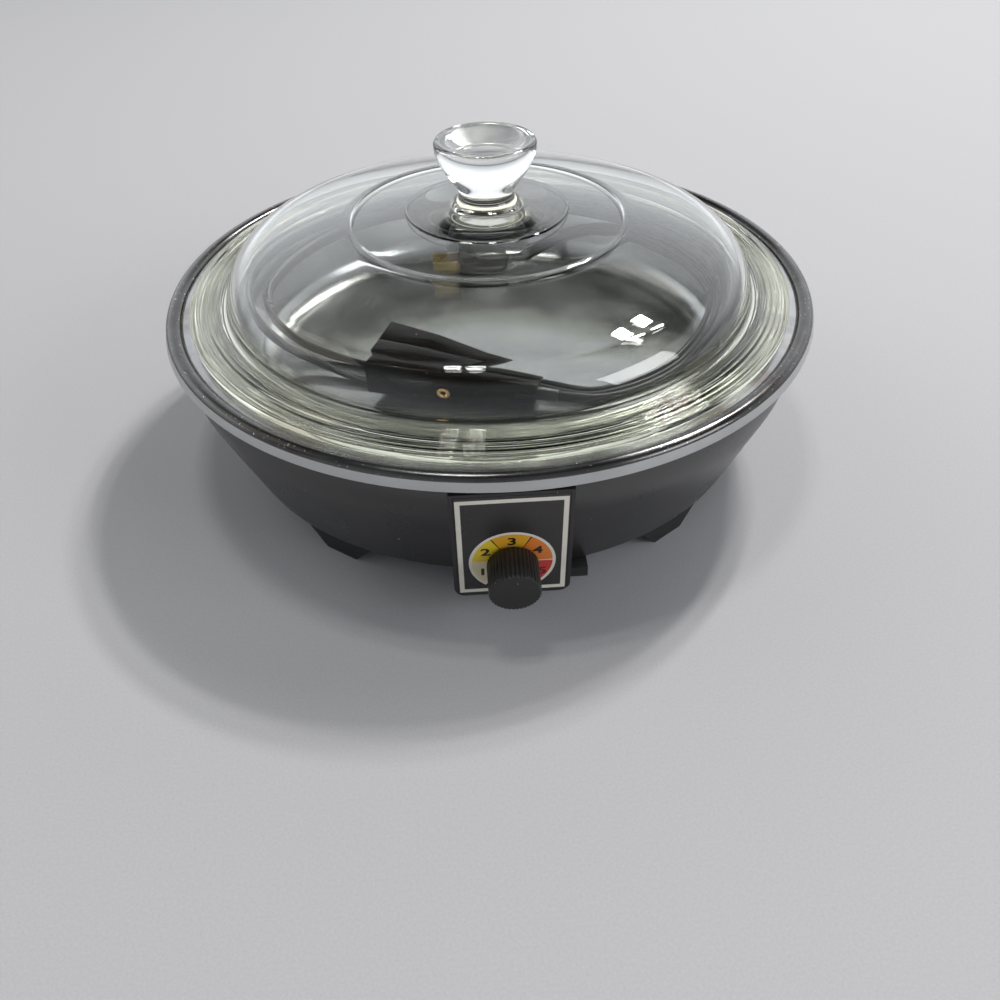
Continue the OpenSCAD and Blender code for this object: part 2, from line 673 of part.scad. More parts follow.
module contact_blade() {
    color("#b48a56") at_dial() translate([0, 0, thermo_back - 2 * blade_t - blade_gap])
        blade(-blade_long, blade_short);
}

module contact_buttons() {
    color("#d8d8d6") at_dial() translate([blade_short - contact_r - 0.5, 0,
            thermo_back - blade_t - blade_gap])
        cylinder(r = contact_r, h = blade_gap, $fn = 32);
}

spacer_r = 2.6;
module stack_spacer() {
    color("#e4dfd2") at_dial() translate([spacer_r + 0.5 - blade_short, 0,
            thermo_back - blade_t - blade_gap])
        cylinder(r = spacer_r, h = blade_gap, $fn = 32);
}

// ---- Heating element ----

element_z = under_z - sheath_r - 0.2;
leg_end = [leg_x, base_hole_r - 3.5];
// Half the angle left open between the ring's ends, and the middle of the bend into a leg
element_gap = asin((leg_x + leg_bend_r) / (element_r + leg_bend_r));
bend_c = (element_r + leg_bend_r) * [sin(element_gap), cos(element_gap)];
bead_len = 5.5;
terminal_len = 3.5;
pin_tail = inlet_front - 6;
terminal_tip = leg_end[1] + bead_len + terminal_len;

module at_leg_ends() {
    for (s = [-1, 1]) translate([s * leg_end[0], leg_end[1], element_z]) rotate([-90, 0, 0])
        children();
}

// Degrees of brazed joint between the ring and each leg's bend
braze = 0.02;
module element_leg() {
    translate([bend_c[0], bend_c[1], element_z]) rotate([0, 0, 180])
        rotate_extrude(angle = 90 - element_gap) translate([leg_bend_r, 0])
            circle(r = sheath_r, $fn = 72);
    translate([leg_x, bend_c[1], element_z]) rotate([-90, 0, 0])
        cylinder(r = sheath_r, h = leg_end[1] - bend_c[1], $fn = 72);
}

module heating_element() {
    color("#6d6a64") {
        rotate([0, 0, 90 + element_gap + braze])
            rotate_extrude(angle = 360 - 2 * (element_gap + braze), $fn = 144)
                translate([element_r, element_z]) circle(r = sheath_r, $fn = 72);
        element_leg();
        mirror([1, 0, 0]) element_leg();
    }
}

module terminal_insulators() {
    color("#e8e4da") at_leg_ends()
        cylinder(r = sheath_r - 0.6, h = bead_len, $fn = 32);
}

module element_terminals() {
    color("#c4c2bc") at_leg_ends() translate([0, 0, bead_len])
        cylinder(r = 1.5, h = terminal_len, $fn = 24);
}

module element_clamps() {
    color("#a2a4a6") for (i = [0:clamps - 1]) rotate([0, 0, -90 + i * 360 / clamps])
        translate([element_r, 6, 0]) rotate([90, 0, 0]) linear_extrude(12) polygon([
            [-sheath_r - 2, under_z], [-sheath_r - 2, element_z - sheath_r - 1.7],
            [sheath_r + 2, element_z - sheath_r - 1.7], [sheath_r + 2, under_z],
            [sheath_r + 0.4, under_z], [sheath_r + 0.4, element_z - sheath_r - 0.3],
            [-sheath_r - 0.4, element_z - sheath_r - 0.3], [-sheath_r - 0.4, under_z]]);
}

// ---- Inlet and leads ----

pin_seat_t = 3;
pin_end = inlet_back - 1.5;
// Behind its shoulder, just clear of the seat, a pin steps down to its tail
pin_tail_r = pin_r - 0.4;
pin_shoulder = inlet_front + pin_seat_t + 0.6;

module inlet_shroud() {
    color("#131313") difference() {
        translate([-inlet_w / 2, inlet_front, inlet_z - inlet_h / 2])
            cube([inlet_w, inlet_back - inlet_front, inlet_h]);
        translate([inlet_wall - inlet_w / 2, inlet_front + pin_seat_t,
                inlet_z - inlet_h / 2 + inlet_wall])
            cube([inlet_w - 2 * inlet_wall, inlet_back, inlet_h - 2 * inlet_wall]);
        for (s = [-1, 1]) translate([s * pin_pitch / 2, inlet_front - 1, inlet_z])
            rotate([-90, 0, 0]) cylinder(r = pin_tail_r + 0.05, h = pin_seat_t + 2, $fn = 48);
    }
}

module inlet_pins() {
    color("#d0cec8") for (s = [-1, 1]) translate([s * pin_pitch / 2, 0, inlet_z]) {
        translate([0, pin_tail, 0]) rotate([-90, 0, 0])
            cylinder(r = pin_tail_r, h = pin_shoulder + 1 - pin_tail, $fn = 48);
        translate([0, pin_shoulder, 0]) rotate([-90, 0, 0])
            cylinder(r = pin_r, h = pin_end - pin_r - pin_shoulder, $fn = 48);
        translate([0, pin_end - pin_r, 0]) sphere(r = pin_r, $fn = 48);
    }
}

lead_z = 17.5;
// Where the leads meet the backs of the two blades, seen from the pan's axis
lead_up = 31;
function blade_back_y(depth) = -dial_y + depth * cos(panel_tilt)
    - (lead_up - dial_z + depth * sin(panel_tilt)) * tan(panel_tilt);
contact_back_y = blade_back_y(2 * blade_t + blade_gap - thermo_back);
bimetal_back_y = blade_back_y(blade_t - thermo_back);
lead_out = blade_long - lead_r - 0.3;

lead_s = base_bottom_r / 140;
function along_base(route) = [for (p = route) [p[0] * lead_s, p[1] * lead_s, p[2]]];
function flat(route) = [for (p = route) [p[0], p[1], p[2], 0]];

// A lead bends smoothly between its two straight ends
module lead(start, route, end) {
    color("#d8d4c8") tube(concat(flat(start), smooth(flat(route), 2), flat(end)),
        2 * lead_r, 2 * lead_r, 8);
}

module lead_inlet_thermostat() {
    lead([[-pin_pitch / 2, pin_tail - 0.02, inlet_z]],
        concat([[-pin_pitch / 2, pin_tail - 1.5, inlet_z]],
            along_base([[-8.6, 126.5, 31.5], [-7, 121, 24], [-11, 114, 17], [-26, 107, 15.5],
                [-45, 97, 15.5], [-62, 76, 17], [-70, 45, lead_z], [-73, 0, lead_z],
                [-68, -50, lead_z], [-45, -95, lead_z], [-22, -121, 20], [-15.5, -132, 27]]),
            [[-lead_out, contact_back_y + 0.05, lead_up]]), []);
}

module lead_thermostat_element() {
    lead([], concat([[lead_out, bimetal_back_y + 0.05, lead_up]],
            along_base([[14, -133, 28], [7, -120, 21], [-14, -99, lead_z], [-44, -62, lead_z],
                [-57, -20, lead_z], [-58, 30, lead_z], [-46, 68, lead_z], [-31, 92, 19.5],
                [-25, 106, 20.5], [-22, 117, 22], [-18, 125, 26]]),
            [[-leg_end[0], terminal_tip + 4, element_z],
             [-leg_end[0], terminal_tip + 0.2, element_z]]), []);
}

module lead_element_inlet() {
    lead([], [[leg_end[0], terminal_tip + 0.2, element_z],
        [leg_end[0] - 0.4, terminal_tip + 3, 29], [10, pin_tail - 4, 32.5],
        [pin_pitch / 2, pin_tail - 1.2, inlet_z]], [[pin_pitch / 2, pin_tail - 0.02, inlet_z]]);
}

// ---- Cord set ----

socket_r = 3.7;
socket_depth = 24;
rivet_x = 40;
rivet_z = 9;
rivet_r = 2.4;
rivet_head_r = 3.5;
rivet_head_t = 0.7;
// Half the body's width where the rivet goes through
rivet_half = (conn_w - 5) / 2 - ((conn_w - 5) - conn_tail_w) / 2 * (rivet_x - 26) / (conn_len - 27);

// The connector's whole body: a rounded wedge from the socket end to the cord end
module connector_body() {
    hull() {
        rotate([90, 0, 90]) translate([0, conn_h / 2, 0]) linear_extrude(1)
            polygon(round_rect(conn_w, conn_h, 4, 5));
        rotate([90, 0, 90]) translate([0, conn_h / 2, 26]) linear_extrude(1)
            polygon(round_rect(conn_w - 5, conn_h, 6, 5));
        rotate([90, 0, 90]) translate([0, conn_tail_h / 2, conn_len - 1]) linear_extrude(1)
            polygon(round_rect(conn_tail_w, conn_tail_h, 6, 5));
    }
}

// One half of the body, side = -1 nearer the front, with its socket and the cord's way out
module connector_half(side) {
    color("#0d0d0d") at_connector() difference() {
        intersection() {
            connector_body();
            translate([-1, side < 0 ? -conn_w : 0.05, -1])
                cube([conn_len + 2, conn_w - 0.05, conn_h + 2]);
        }
        translate([-1, side * pin_pitch / 2, conn_h / 2]) rotate([0, 90, 0]) {
            cylinder(r = pin_r + 0.3, h = 4, $fn = 32);
            translate([0, 0, 3]) cylinder(r = socket_r, h = socket_depth - 2, $fn = 32);
        }
        translate([rivet_x, -conn_w, rivet_z]) rotate([-90, 0, 0])
            cylinder(r = rivet_r + 0.1, h = 2 * conn_w, $fn = 32);
        translate([rivet_x, side * (rivet_half - 0.2), rivet_z]) rotate([-side * 90, 0, 0])
            cylinder(r = rivet_head_r + 0.3, h = 5, $fn = 32);
        translate([conn_len - 12, -conn_w, conn_tail_h / 2 - 4.6]) cube([20, 2 * conn_w, 9.2]);
    }
}

module connector_front_half() { connector_half(-1); }
module connector_rear_half() { connector_half(1); }

module connector_contacts() {
    color("#b9a46a") at_connector() for (s = [-1, 1])
        translate([2.3, s * pin_pitch / 2, conn_h / 2]) rotate([0, 90, 0]) difference() {
            cylinder(r = socket_r - 0.1, h = 20, $fn = 32);
            translate([0, 0, -1]) cylinder(r = pin_r + 0.1, h = 18, $fn = 32);
        }
}

module connector_rivet() {
    color("#b5853c") at_connector() translate([rivet_x, 0, rivet_z]) rotate([-90, 0, 0])
        difference() {
            union() {
                translate([0, 0, -rivet_half]) cylinder(r = rivet_r, h = 2 * rivet_half, $fn = 32);
                for (s = [-1, 1]) translate([0, 0, s * (rivet_half + 0.2) - rivet_head_t / 2])
                    cylinder(r = rivet_head_r, h = rivet_head_t, $fn = 32);
            }
            translate([0, 0, -conn_w]) cylinder(r = rivet_r - 0.9, h = 2 * conn_w, $fn = 24);
        }
}

// A tapered rubber sleeve, its root held between the two halves
module connector_strain_relief() {
    color("#0f0f0f") at_connector() translate([conn_len - 11.5, 0, conn_tail_h / 2])
        rotate([90, 0, 90]) hull() {
            linear_extrude(1) polygon(round_rect(6.4, 9, 2.5, 4));
            translate([0, 0, relief_len - 1]) linear_extrude(1)
                polygon(round_rect(cord_t + 0.8, cord_w + 0.8, 2, 4));
        }
}

// Half the cord's height and half its breadth at a point of its route
function cord_up(p) = (cord_w - cord_t) / 2 * abs(sin(p[3])) + cord_t / 2;
function cord_out(p) = (cord_w - cord_t) / 2 * abs(cos(p[3])) + cord_t / 2;

// The cord's least gap to itself, over points that lie further apart along it than skip
function cord_gap(p, skip) = min([for (i = [0:len(p) - 1 - skip], j = [i + skip:1:len(p) - 1])
    max(abs(p[i][2] - p[j][2]) - cord_up(p[i]) - cord_up(p[j]),
        norm([p[i][0] - p[j][0], p[i][1] - p[j][1]]) - cord_out(p[i]) - cord_out(p[j]))]);

module power_cord() {
    echo(cord_gap_to_itself = cord_gap(smooth(laid_route, 6), 18));
    color("#0b0b0b") tube(laid_route, cord_w, cord_t, 10);
}

module plug_body() {
    color("#0d0d0d") at_plug() hull() {
        rotate([90, 0, 90]) translate([0, plug_h / 2, 0]) linear_extrude(1)
            polygon(round_rect(12, 9, 3, 5));
        rotate([90, 0, 90]) translate([0, plug_h / 2, 10]) linear_extrude(1)
            polygon(round_rect(plug_w - 3, plug_h, 5, 5));
        rotate([90, 0, 90]) translate([0, plug_h / 2, plug_len - 1]) linear_extrude(1)
            polygon(round_rect(plug_w, plug_h, 5, 5));
    }
}

module plug_blades() {
    color("#c9b780") at_plug() for (s = [-1, 1])
        translate([plug_len, s * 6.35 - 0.75, plug_h / 2 - 3.2]) cube([17, 1.5, 6.4]);
}

// Puts a piece drawn about the pan's axis into the part's own frame
module placed() {
    translate([0, pan_y, 0]) children();
}

placed() cooking_pan();
placed() base_shell();
placed() bottom_cover();
placed() support_posts();
placed() cover_screws();
placed() foot(foot_turns[0]);  // foot_front_right
placed() foot(foot_turns[1]);  // foot_back_right
placed() foot(foot_turns[2]);  // foot_back_left
placed() foot(foot_turns[3]);  // foot_front_left
placed() foot_screws();
placed() glass_lid();
placed() control_housing();
placed() dial_plate();
placed() control_knob();
placed() knob_spring();
placed() control_shaft();
placed() thermostat_plate();
placed() thermostat_bushing();
placed() bushing_nut();
placed() thermostat_body();
placed() bimetal_blade();
placed() contact_blade();
placed() contact_buttons();
placed() stack_spacer();
placed() heating_element();
placed() element_clamps();
placed() element_terminals();
placed() terminal_insulators();
placed() inlet_shroud();
placed() inlet_pins();
placed() lead_inlet_thermostat();
placed() lead_thermostat_element();
placed() lead_element_inlet();
placed() connector_front_half();
placed() connector_rear_half();
placed() connector_contacts();
placed() connector_rivet();
placed() connector_strain_relief();
placed() power_cord();
placed() plug_body();
placed() plug_blades();
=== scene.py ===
import math

import bmesh
import bpy
from mathutils import Matrix, Vector


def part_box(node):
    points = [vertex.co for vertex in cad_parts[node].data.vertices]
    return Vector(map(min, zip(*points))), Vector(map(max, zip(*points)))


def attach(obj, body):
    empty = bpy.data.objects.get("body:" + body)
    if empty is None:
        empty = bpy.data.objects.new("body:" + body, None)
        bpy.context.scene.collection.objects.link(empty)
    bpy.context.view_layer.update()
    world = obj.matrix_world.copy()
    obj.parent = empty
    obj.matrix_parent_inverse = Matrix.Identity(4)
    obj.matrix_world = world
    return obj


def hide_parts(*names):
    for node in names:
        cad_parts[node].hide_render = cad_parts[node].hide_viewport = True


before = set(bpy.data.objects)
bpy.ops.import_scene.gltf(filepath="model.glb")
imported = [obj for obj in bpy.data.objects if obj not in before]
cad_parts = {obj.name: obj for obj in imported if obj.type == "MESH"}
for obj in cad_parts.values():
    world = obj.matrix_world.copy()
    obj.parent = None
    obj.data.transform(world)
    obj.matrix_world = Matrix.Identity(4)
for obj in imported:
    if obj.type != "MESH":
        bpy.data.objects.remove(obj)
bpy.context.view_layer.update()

# ---- Camera ----
# A camera held in front of the skillet, looking down on it and a little tilted. Its place, lens and
# tilt are fitted to the pan's rim, the lid's rings and the panel's corners as the photograph shows them.
CAMERA_PLACE = (-0.01792, -0.42548, 0.3114)
camera_data = bpy.data.cameras.new("camera")
camera_data.lens = 32.58
camera_data.sensor_width = 36
camera_data.clip_start = 0.01
heading, pitch, lean = (math.radians(a) for a in (2.78, 41.38, -1.38))
ahead = Vector((math.sin(heading) * math.cos(pitch), math.cos(heading) * math.cos(pitch),
                -math.sin(pitch)))
level = Vector((math.cos(heading), -math.sin(heading), 0))
above = level.cross(ahead)
camera_right = level * math.cos(lean) + above * math.sin(lean)
camera_up = above * math.cos(lean) - level * math.sin(lean)
camera = bpy.data.objects.new("camera", camera_data)
camera.matrix_world = Matrix.Translation(CAMERA_PLACE) @ Matrix(
    (camera_right, camera_up, -ahead)).transposed().to_4x4()
bpy.context.scene.collection.objects.link(camera)
bpy.context.scene.camera = camera
bpy.context.scene.view_settings.view_transform = "Standard"

# ---- Mains cord ----
# A flat twin cord with a ridge over each core, in soft black PVC. Put away in the pan, it makes two
# turns and a quarter against the wall and crosses twice behind its connector.
MM = 0.001
axis_y = (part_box("bottom_cover")[0].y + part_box("bottom_cover")[1].y) / 2 / MM
# From the connector to the plug: right, back and up from the table under the pan's axis, in
# millimetres, and the cord's roll in degrees. It lies flat at 0 and stands on edge at 90.
CORD_ROUTE = [
    (31.8, -50.6, 43.6, 90), (39.3, -53.2, 43.1, 90), (52, -54.3, 41.3, 90),
    (69, -49.5, 39.6, 90), (88, -40, 39.6, 90),
    (104, -28, 41.5, 90), (115, -18.5, 47.5, 90), (124, -11, 54.5, 90), (131, -2, 63, 90),
    (134, 12, 71, 90), (131.5, 30, 75, 90), (123, 55, 76.5, 90), (107, 81, 77, 90),
    (85, 104, 77, 90), (58, 121, 77, 90), (28, 131, 77, 90), (-4, 134, 77, 90),
    (-35, 129.5, 77, 90), (-64, 118, 77, 90), (-90, 99.5, 77, 90), (-111, 75.5, 77, 90),
    (-125, 49, 76.5, 90), (-131, 28, 74, 90), (-130, 14, 69.5, 90), (-125, 6, 62, 90),
    (-117.5, 2.5, 54, 90), (-107, 0, 47, 85), (-93, -5, 42, 70), (-79, -13, 38.7, 35),
    (-63, -18, 37.2, 0), (-47, -12.5, 37.2, 0), (-32, -5, 37.8, 20), (-24, -5.4, 38.4, 50),
    (-15, -8, 39, 90),
    (3, -19.5, 39, 90), (33, -40.5, 39, 90), (50, -48, 39, 90), (68, -44.3, 39, 90),
    (87, -35.3, 39, 90), (101.5, -23.8, 39.5, 90), (112, -13, 43, 90), (121, -3, 49, 90),
    (127.5, 9, 56, 90), (130.5, 24, 62, 90), (126.5, 41, 66.3, 90), (116.5, 64.5, 68.3, 90),
    (100, 88, 68.5, 90), (78.5, 107.5, 68.5, 90), (53, 122.3, 68.5, 90), (24, 131, 68.5, 90),
    (-7, 133, 68.5, 90), (-38, 127.7, 68.5, 90), (-66.5, 115.2, 68.3, 90), (-91.5, 96, 67.5, 90),
    (-111, 71.5, 65.5, 90), (-122, 49, 62, 90), (-124, 36, 58, 90), (-119.5, 26.5, 53.5, 90),
    (-112, 20, 48.5, 90), (-102.5, 16, 43.5, 85), (-90, 11.5, 40.3, 80), (-78, 7, 38.9, 60),
    (-63, 2.5, 38.3, 40), (-47, 4.5, 38.5, 45), (-30, 3.2, 39, 90), (-13, -2.8, 39, 90),
    (5, -14.5, 39, 90), (35, -35.5, 39, 90), (51, -43, 39, 90), (67, -39.6, 39, 90),
    (84.5, -31, 39, 90), (98, -20, 39, 90), (108, -9, 40.5, 90), (117, 2.5, 44.5, 90),
    (124, 15, 50, 90), (127.5, 30, 54.5, 90), (122.5, 49, 58, 90), (111, 71.5, 59.5, 90),
    (94.5, 93, 60, 90), (75, 109, 58.5, 90), (56, 115.5, 53, 90), (40, 112.5, 47.5, 60),
    (29, 108.3, 44, 20), (24, 106.9, 43.1, 0), (16.02, 106.5, 43.1, 0),
]


def wire(tree, node, sockets):
    """Sets a node's sockets to values, or wires them to other nodes' outputs."""
    for socket, value in sockets.items():
        if isinstance(value, bpy.types.NodeSocket):
            tree.links.new(value, node.inputs[socket])
        else:
            node.inputs[socket].default_value = value


def add(tree, kind, sockets=None, **settings):
    """Adds a shader node with its settings and sockets."""
    node = tree.nodes.new("ShaderNode" + kind)
    for setting, value in settings.items():
        setattr(node, setting, value)
    wire(tree, node, sockets or {})
    return node


def ranged(tree, value, low, high, to_low, to_high):
    """The value stretched from one range to another, and held inside it."""
    return add(tree, "MapRange", {0: value, 1: low, 2: high, 3: to_low, 4: to_high}).outputs[0]


def sums(tree, operation, first, second):
    """What one math node makes of two values."""
    return add(tree, "Math", {0: first, 1: second}, operation=operation).outputs[0]


def tint(tree, mask, under, over):
    """One colour over another where the mask is 1."""
    return add(tree, "Mix", {0: mask, 6: under, 7: over}, data_type="RGBA").outputs[2]


def effect(name, inputs, outputs):
    """An empty node group: its tree, its incoming sockets and its last node."""
    tree = bpy.data.node_groups.new(name, "ShaderNodeTree")
    for socket, value in inputs.items():
        kind = "NodeSocketColor" if isinstance(value, tuple) else "NodeSocketFloat"
        tree.interface.new_socket(socket, in_out="INPUT", socket_type=kind).default_value = value
    for socket, kind in outputs.items():
        tree.interface.new_socket(socket, in_out="OUTPUT", socket_type=kind)
    return tree, tree.nodes.new("NodeGroupInput").outputs, tree.nodes.new("NodeGroupOutput")


# Moulded or painted skin: slow patches of colour and gloss, and a fine grain
skin, incoming, outgoing = effect(
    "moulded_skin",
    {"Colour": (0.1, 0.1, 0.1, 1), "Roughness": 0.4, "Grain Scale": 1500.0, "Mottle": 0.2},
    {"Colour": "NodeSocketColor", "Roughness": "NodeSocketFloat", "Height": "NodeSocketFloat"})
place = add(skin, "TexCoord").outputs["Object"]
patches = add(skin, "TexNoise", {"Vector": place, "Scale": 38.0, "Detail": 5.0}).outputs[0]
grain = add(skin, "TexNoise", {"Vector": place, "Scale": incoming["Grain Scale"], "Detail": 2.0})
lighter = sums(skin, "MULTIPLY_ADD", ranged(skin, patches, 0.3, 0.7, -1.0, 1.0), incoming["Mottle"])
wire(skin, lighter.node, {2: 1.0})
shaded = add(skin, "HueSaturation", {"Color": incoming["Colour"], "Value": lighter}).outputs[0]
duller = sums(skin, "ADD", incoming["Roughness"], ranged(skin, patches, 0.3, 0.7, -0.05, 0.07))
wire(skin, outgoing, {"Colour": shaded, "Roughness": duller, "Height": grain.outputs[0]})

# Specks of dust or worn spots, thinly scattered
specks, incoming, outgoing = effect(
    "scattered_specks", {"Scale": 260.0, "Size": 0.12, "Share": 0.05}, {"Mask": "NodeSocketFloat"})
place = add(specks, "TexCoord").outputs["Object"]
wobble = add(specks, "TexNoise", {"Vector": place, "Scale": 900.0, "Detail": 1.0}).outputs["Color"]
place = add(specks, "MixRGB", {"Fac": 0.0022, "Color1": place, "Color2": wobble}).outputs[0]
cells = add(specks, "TexVoronoi", {"Vector": place, "Scale": incoming["Scale"]})
lots = add(specks, "SeparateColor", {0: cells.outputs["Color"]}).outputs[0]
chosen = sums(specks, "LESS_THAN", lots, incoming["Share"])
near = sums(specks, "LESS_THAN", cells.outputs["Distance"], incoming["Size"])
wire(specks, outgoing, {"Mask": sums(specks, "MULTIPLY", chosen, near)})


def blank(name):
    """A new material, its tree and its shader."""
    material = bpy.data.materials.new(name)
    material.use_nodes = True
    return material, material.node_tree, material.node_tree.nodes["Principled BSDF"]


def coated(name, colour, roughness, grain=1500.0, depth=0.02, mottle=0.2, metallic=0.0,
           dust=0.0, dust_colour=(0.55, 0.53, 0.5), dust_size=0.12, dust_scale=260.0, shine=0.5):
    """A skin with its own colour, gloss and grain, and specks on it. depth is in millimetres."""
    material, tree, shader = blank(name)
    wire(tree, shader, {"Metallic": metallic, "Specular IOR Level": shine})
    surface = add(tree, "Group", node_tree=skin)
    wire(tree, surface, {"Colour": (*colour, 1), "Roughness": roughness, "Grain Scale": grain,
                         "Mottle": mottle})
    shown, gloss = surface.outputs["Colour"], surface.outputs["Roughness"]
    if dust:
        spots = add(tree, "Group", node_tree=specks)
        wire(tree, spots, {"Scale": dust_scale, "Size": dust_size, "Share": dust})
        shown = tint(tree, spots.outputs["Mask"], shown, (*dust_colour, 1))
        gloss = ranged(tree, spots.outputs["Mask"], 0.0, 1.0, 0.0, 0.4)
        gloss = sums(tree, "ADD", gloss, surface.outputs["Roughness"])
    bump = add(tree, "Bump", {"Height": surface.outputs["Height"], "Strength": 1.0,
                              "Distance": depth * MM})
    wire(tree, shader, {"Base Color": shown, "Roughness": gloss, "Normal": bump.outputs[0]})
    return material


# the angle in degrees above which an edge stays sharp
SHARP = 32


def piece(name, points, faces, body, materials, replaced=(), sharp=SHARP, kinds=None):
    """A mesh piece in metres, smooth up to the sharp angle, riding on its body."""
    mesh = bpy.data.meshes.new(name)
    mesh.from_pydata([tuple(p) for p in points], [], faces)
    for material in materials:
        mesh.materials.append(material)
    if kinds:
        mesh.polygons.foreach_set("material_index", kinds)
    made = bmesh.new()
    made.from_mesh(mesh)
    bmesh.ops.recalc_face_normals(made, faces=made.faces)
    made.to_mesh(mesh)
    made.free()
    mesh.shade_smooth()
    mesh.set_sharp_from_angle(angle=math.radians(sharp))
    thing = bpy.data.objects.new(name, mesh)
    bpy.context.scene.collection.objects.link(thing)
    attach(thing, body)
    if replaced:
        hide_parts(*replaced)
    return thing


def between(a, b, c, d, t):
    """A point on the smooth curve from b to c, with a and d beyond them."""
    return 0.5 * (2 * b + (c - a) * t + (2 * a - 5 * b + 4 * c - d) * t * t
                  + (3 * b - a - 3 * c + d) * t ** 3)


def tube(route, outline, steps):
    """Ring centres, points and faces of a tube that follows the route and rolls as it says."""
    knots = [Vector(p) for p in route]
    last = len(knots) - 1
    line = [between(knots[max(i - 1, 0)], knots[i], knots[i + 1], knots[min(i + 2, last)], k / steps)
            for i in range(last) for k in range(steps)] + [knots[last]]
    centres = [Vector((p[0], p[1] + axis_y, p[2])) * MM for p in line]
    points = []
    for i, centre in enumerate(centres):
        along = (centres[min(i + 1, len(line) - 1)] - centres[max(i - 1, 0)]).normalized()
        side = along.cross(Vector((0, 0, 1))).normalized()
        rise = side.cross(along)
        turn = math.radians(line[i][3])
        across = side * math.cos(turn) + rise * math.sin(turn)
        thick = rise * math.cos(turn) - side * math.sin(turn)
        points += [centre + (across * x + thick * y) * MM for x, y in outline]
    count = len(outline)
    faces = [(i * count + k, i * count + (k + 1) % count, (i + 1) * count + (k + 1) % count,
              (i + 1) * count + k) for i in range(len(centres) - 1) for k in range(count)]
    faces += [tuple(range(count)), tuple(range((len(centres) - 1) * count, len(centres) * count))]
    return centres, points, faces


# a ridge's radius, its middle's distance from the cord's, and half the web's thickness between them
RIDGE_R, RIDGE_X, HALF_WEB = 1.88, 1.8, 1.4
STEPS_A_KNOT = 6
ridge = [(RIDGE_X + RIDGE_R * math.cos(math.radians(a)), RIDGE_R * math.sin(math.radians(a)))
         for a in range(-115, 116, 23)]
cord_outline = ridge + [(0, HALF_WEB)] + [(-x, -y) for x, y in ridge] + [(0, -HALF_WEB)]
cord_line, points, faces = tube(CORD_ROUTE, cord_outline, STEPS_A_KNOT)
cord_black = coated("cord_black", (0.006, 0.0057, 0.0055), 0.34, grain=2200, depth=0.02, mottle=0.35,
                    dust=0.03, dust_scale=420, dust_colour=(0.2, 0.19, 0.17), shine=0.3)
mains_cord = piece("mains_cord", points, faces, "root", [cord_black],
                   ["power_cord"], sharp=60)

# ---- Wall plug ----
# A moulded two-blade plug at the cord's far end, lying on the pan's floor under the glass knob. Its
# body is black vinyl moulded over the cord, and the blades are brass strip.
# the distance in metres within which corners are one, and the bend below which faces are one
WELD = 2e-6
NEARLY_FLAT = math.radians(0.6)


def softened(name, node, body, material, radius, segments=2, sharp=40, edges=28, merge=0.0,
             clamp=True):
    """The CAD node's own shape with its edges rounded, as a mould leaves them. merge is the length
    in millimetres of the short edges that go first, and clamp keeps the rounding inside the shape."""
    made = bmesh.new()
    made.from_mesh(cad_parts[node].data)
    bmesh.ops.remove_doubles(made, verts=made.verts, dist=WELD)
    bmesh.ops.dissolve_limit(made, angle_limit=NEARLY_FLAT, verts=made.verts, edges=made.edges)
    if merge:
        bmesh.ops.remove_doubles(made, verts=made.verts, dist=merge * MM)
    chosen = [e for e in made.edges
              if len(e.link_faces) == 2 and e.calc_face_angle(0) > math.radians(edges)]
    bmesh.ops.bevel(made, geom=chosen, offset=radius * MM, segments=segments, profile=0.5,
                    affect="EDGES", clamp_overlap=clamp)
    bmesh.ops.triangulate(made, faces=[f for f in made.faces if len(f.verts) > 4])
    # corners and faces in an order of their own, since the rounding leaves them in no fixed one
    corners = sorted(made.verts, key=lambda v: tuple(v.co))
    numbers = {corner: number for number, corner in enumerate(corners)}
    points = [corner.co.copy() for corner in corners]
    faces = sorted(tuple(numbers[v] for v in f.verts) for f in made.faces)
    made.free()
    return piece(name, points, faces, body, [material], [node], sharp)


plug_black = coated("plug_black", (0.014, 0.013, 0.013), 0.3, grain=900, depth=0.03, dust=0.03)
blade_brass = coated("blade_brass", (0.62, 0.5, 0.27), 0.3, metallic=1.0, mottle=0.15, depth=0.01)
plug = softened("wall_plug", "plug_body", "root", plug_black, 0.6, sharp=50)
plug_blades = softened("plug_blades_brass", "plug_blades", "root", blade_brass, 0.25)

# ---- Appliance connector ----
# Two halves of polished black phenolic, held together by a hollow brass rivet through the middle.
# The halves meet in a fine parting line, and a rubber sleeve stands out where the cord comes in.
connector_black = coated(
    "connector_black", (0.004, 0.0033, 0.003), 0.08, grain=260, depth=0.05, mottle=0.4, dust=0.05,
    dust_colour=(0.32, 0.22, 0.13), dust_size=0.14, dust_scale=420, shine=0.1)
halves = [softened("connector_" + side, "connector_" + side + "_half", "root",
                   connector_black, 0.35, segments=3, sharp=35, edges=35, merge=0.3, clamp=False)
          for side in ("front", "rear")]
rivet_brass = coated("rivet_brass", (0.5, 0.33, 0.15), 0.3, metallic=1.0, mottle=0.2, depth=0.01)
relief_rubber = coated("relief_rubber", (0.012, 0.012, 0.012), 0.45, grain=1400, depth=0.03)
contact_brass = coated("contact_brass", (0.66, 0.54, 0.3), 0.32, metallic=1.0, depth=0.01)
rivet = softened("connector_rivet_ring", "connector_rivet", "root", rivet_brass, 0.15)
sleeve = softened("connector_sleeve", "connector_strain_relief", "root",
                  relief_rubber, 0.4)


def finish(node, material):
    """Gives a CAD node that stays its finer material."""
    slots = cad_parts[node].material_slots
    if not slots:
        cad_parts[node].data.materials.append(material)
    for slot in slots:
        slot.material = material


finish("connector_contacts", contact_brass)

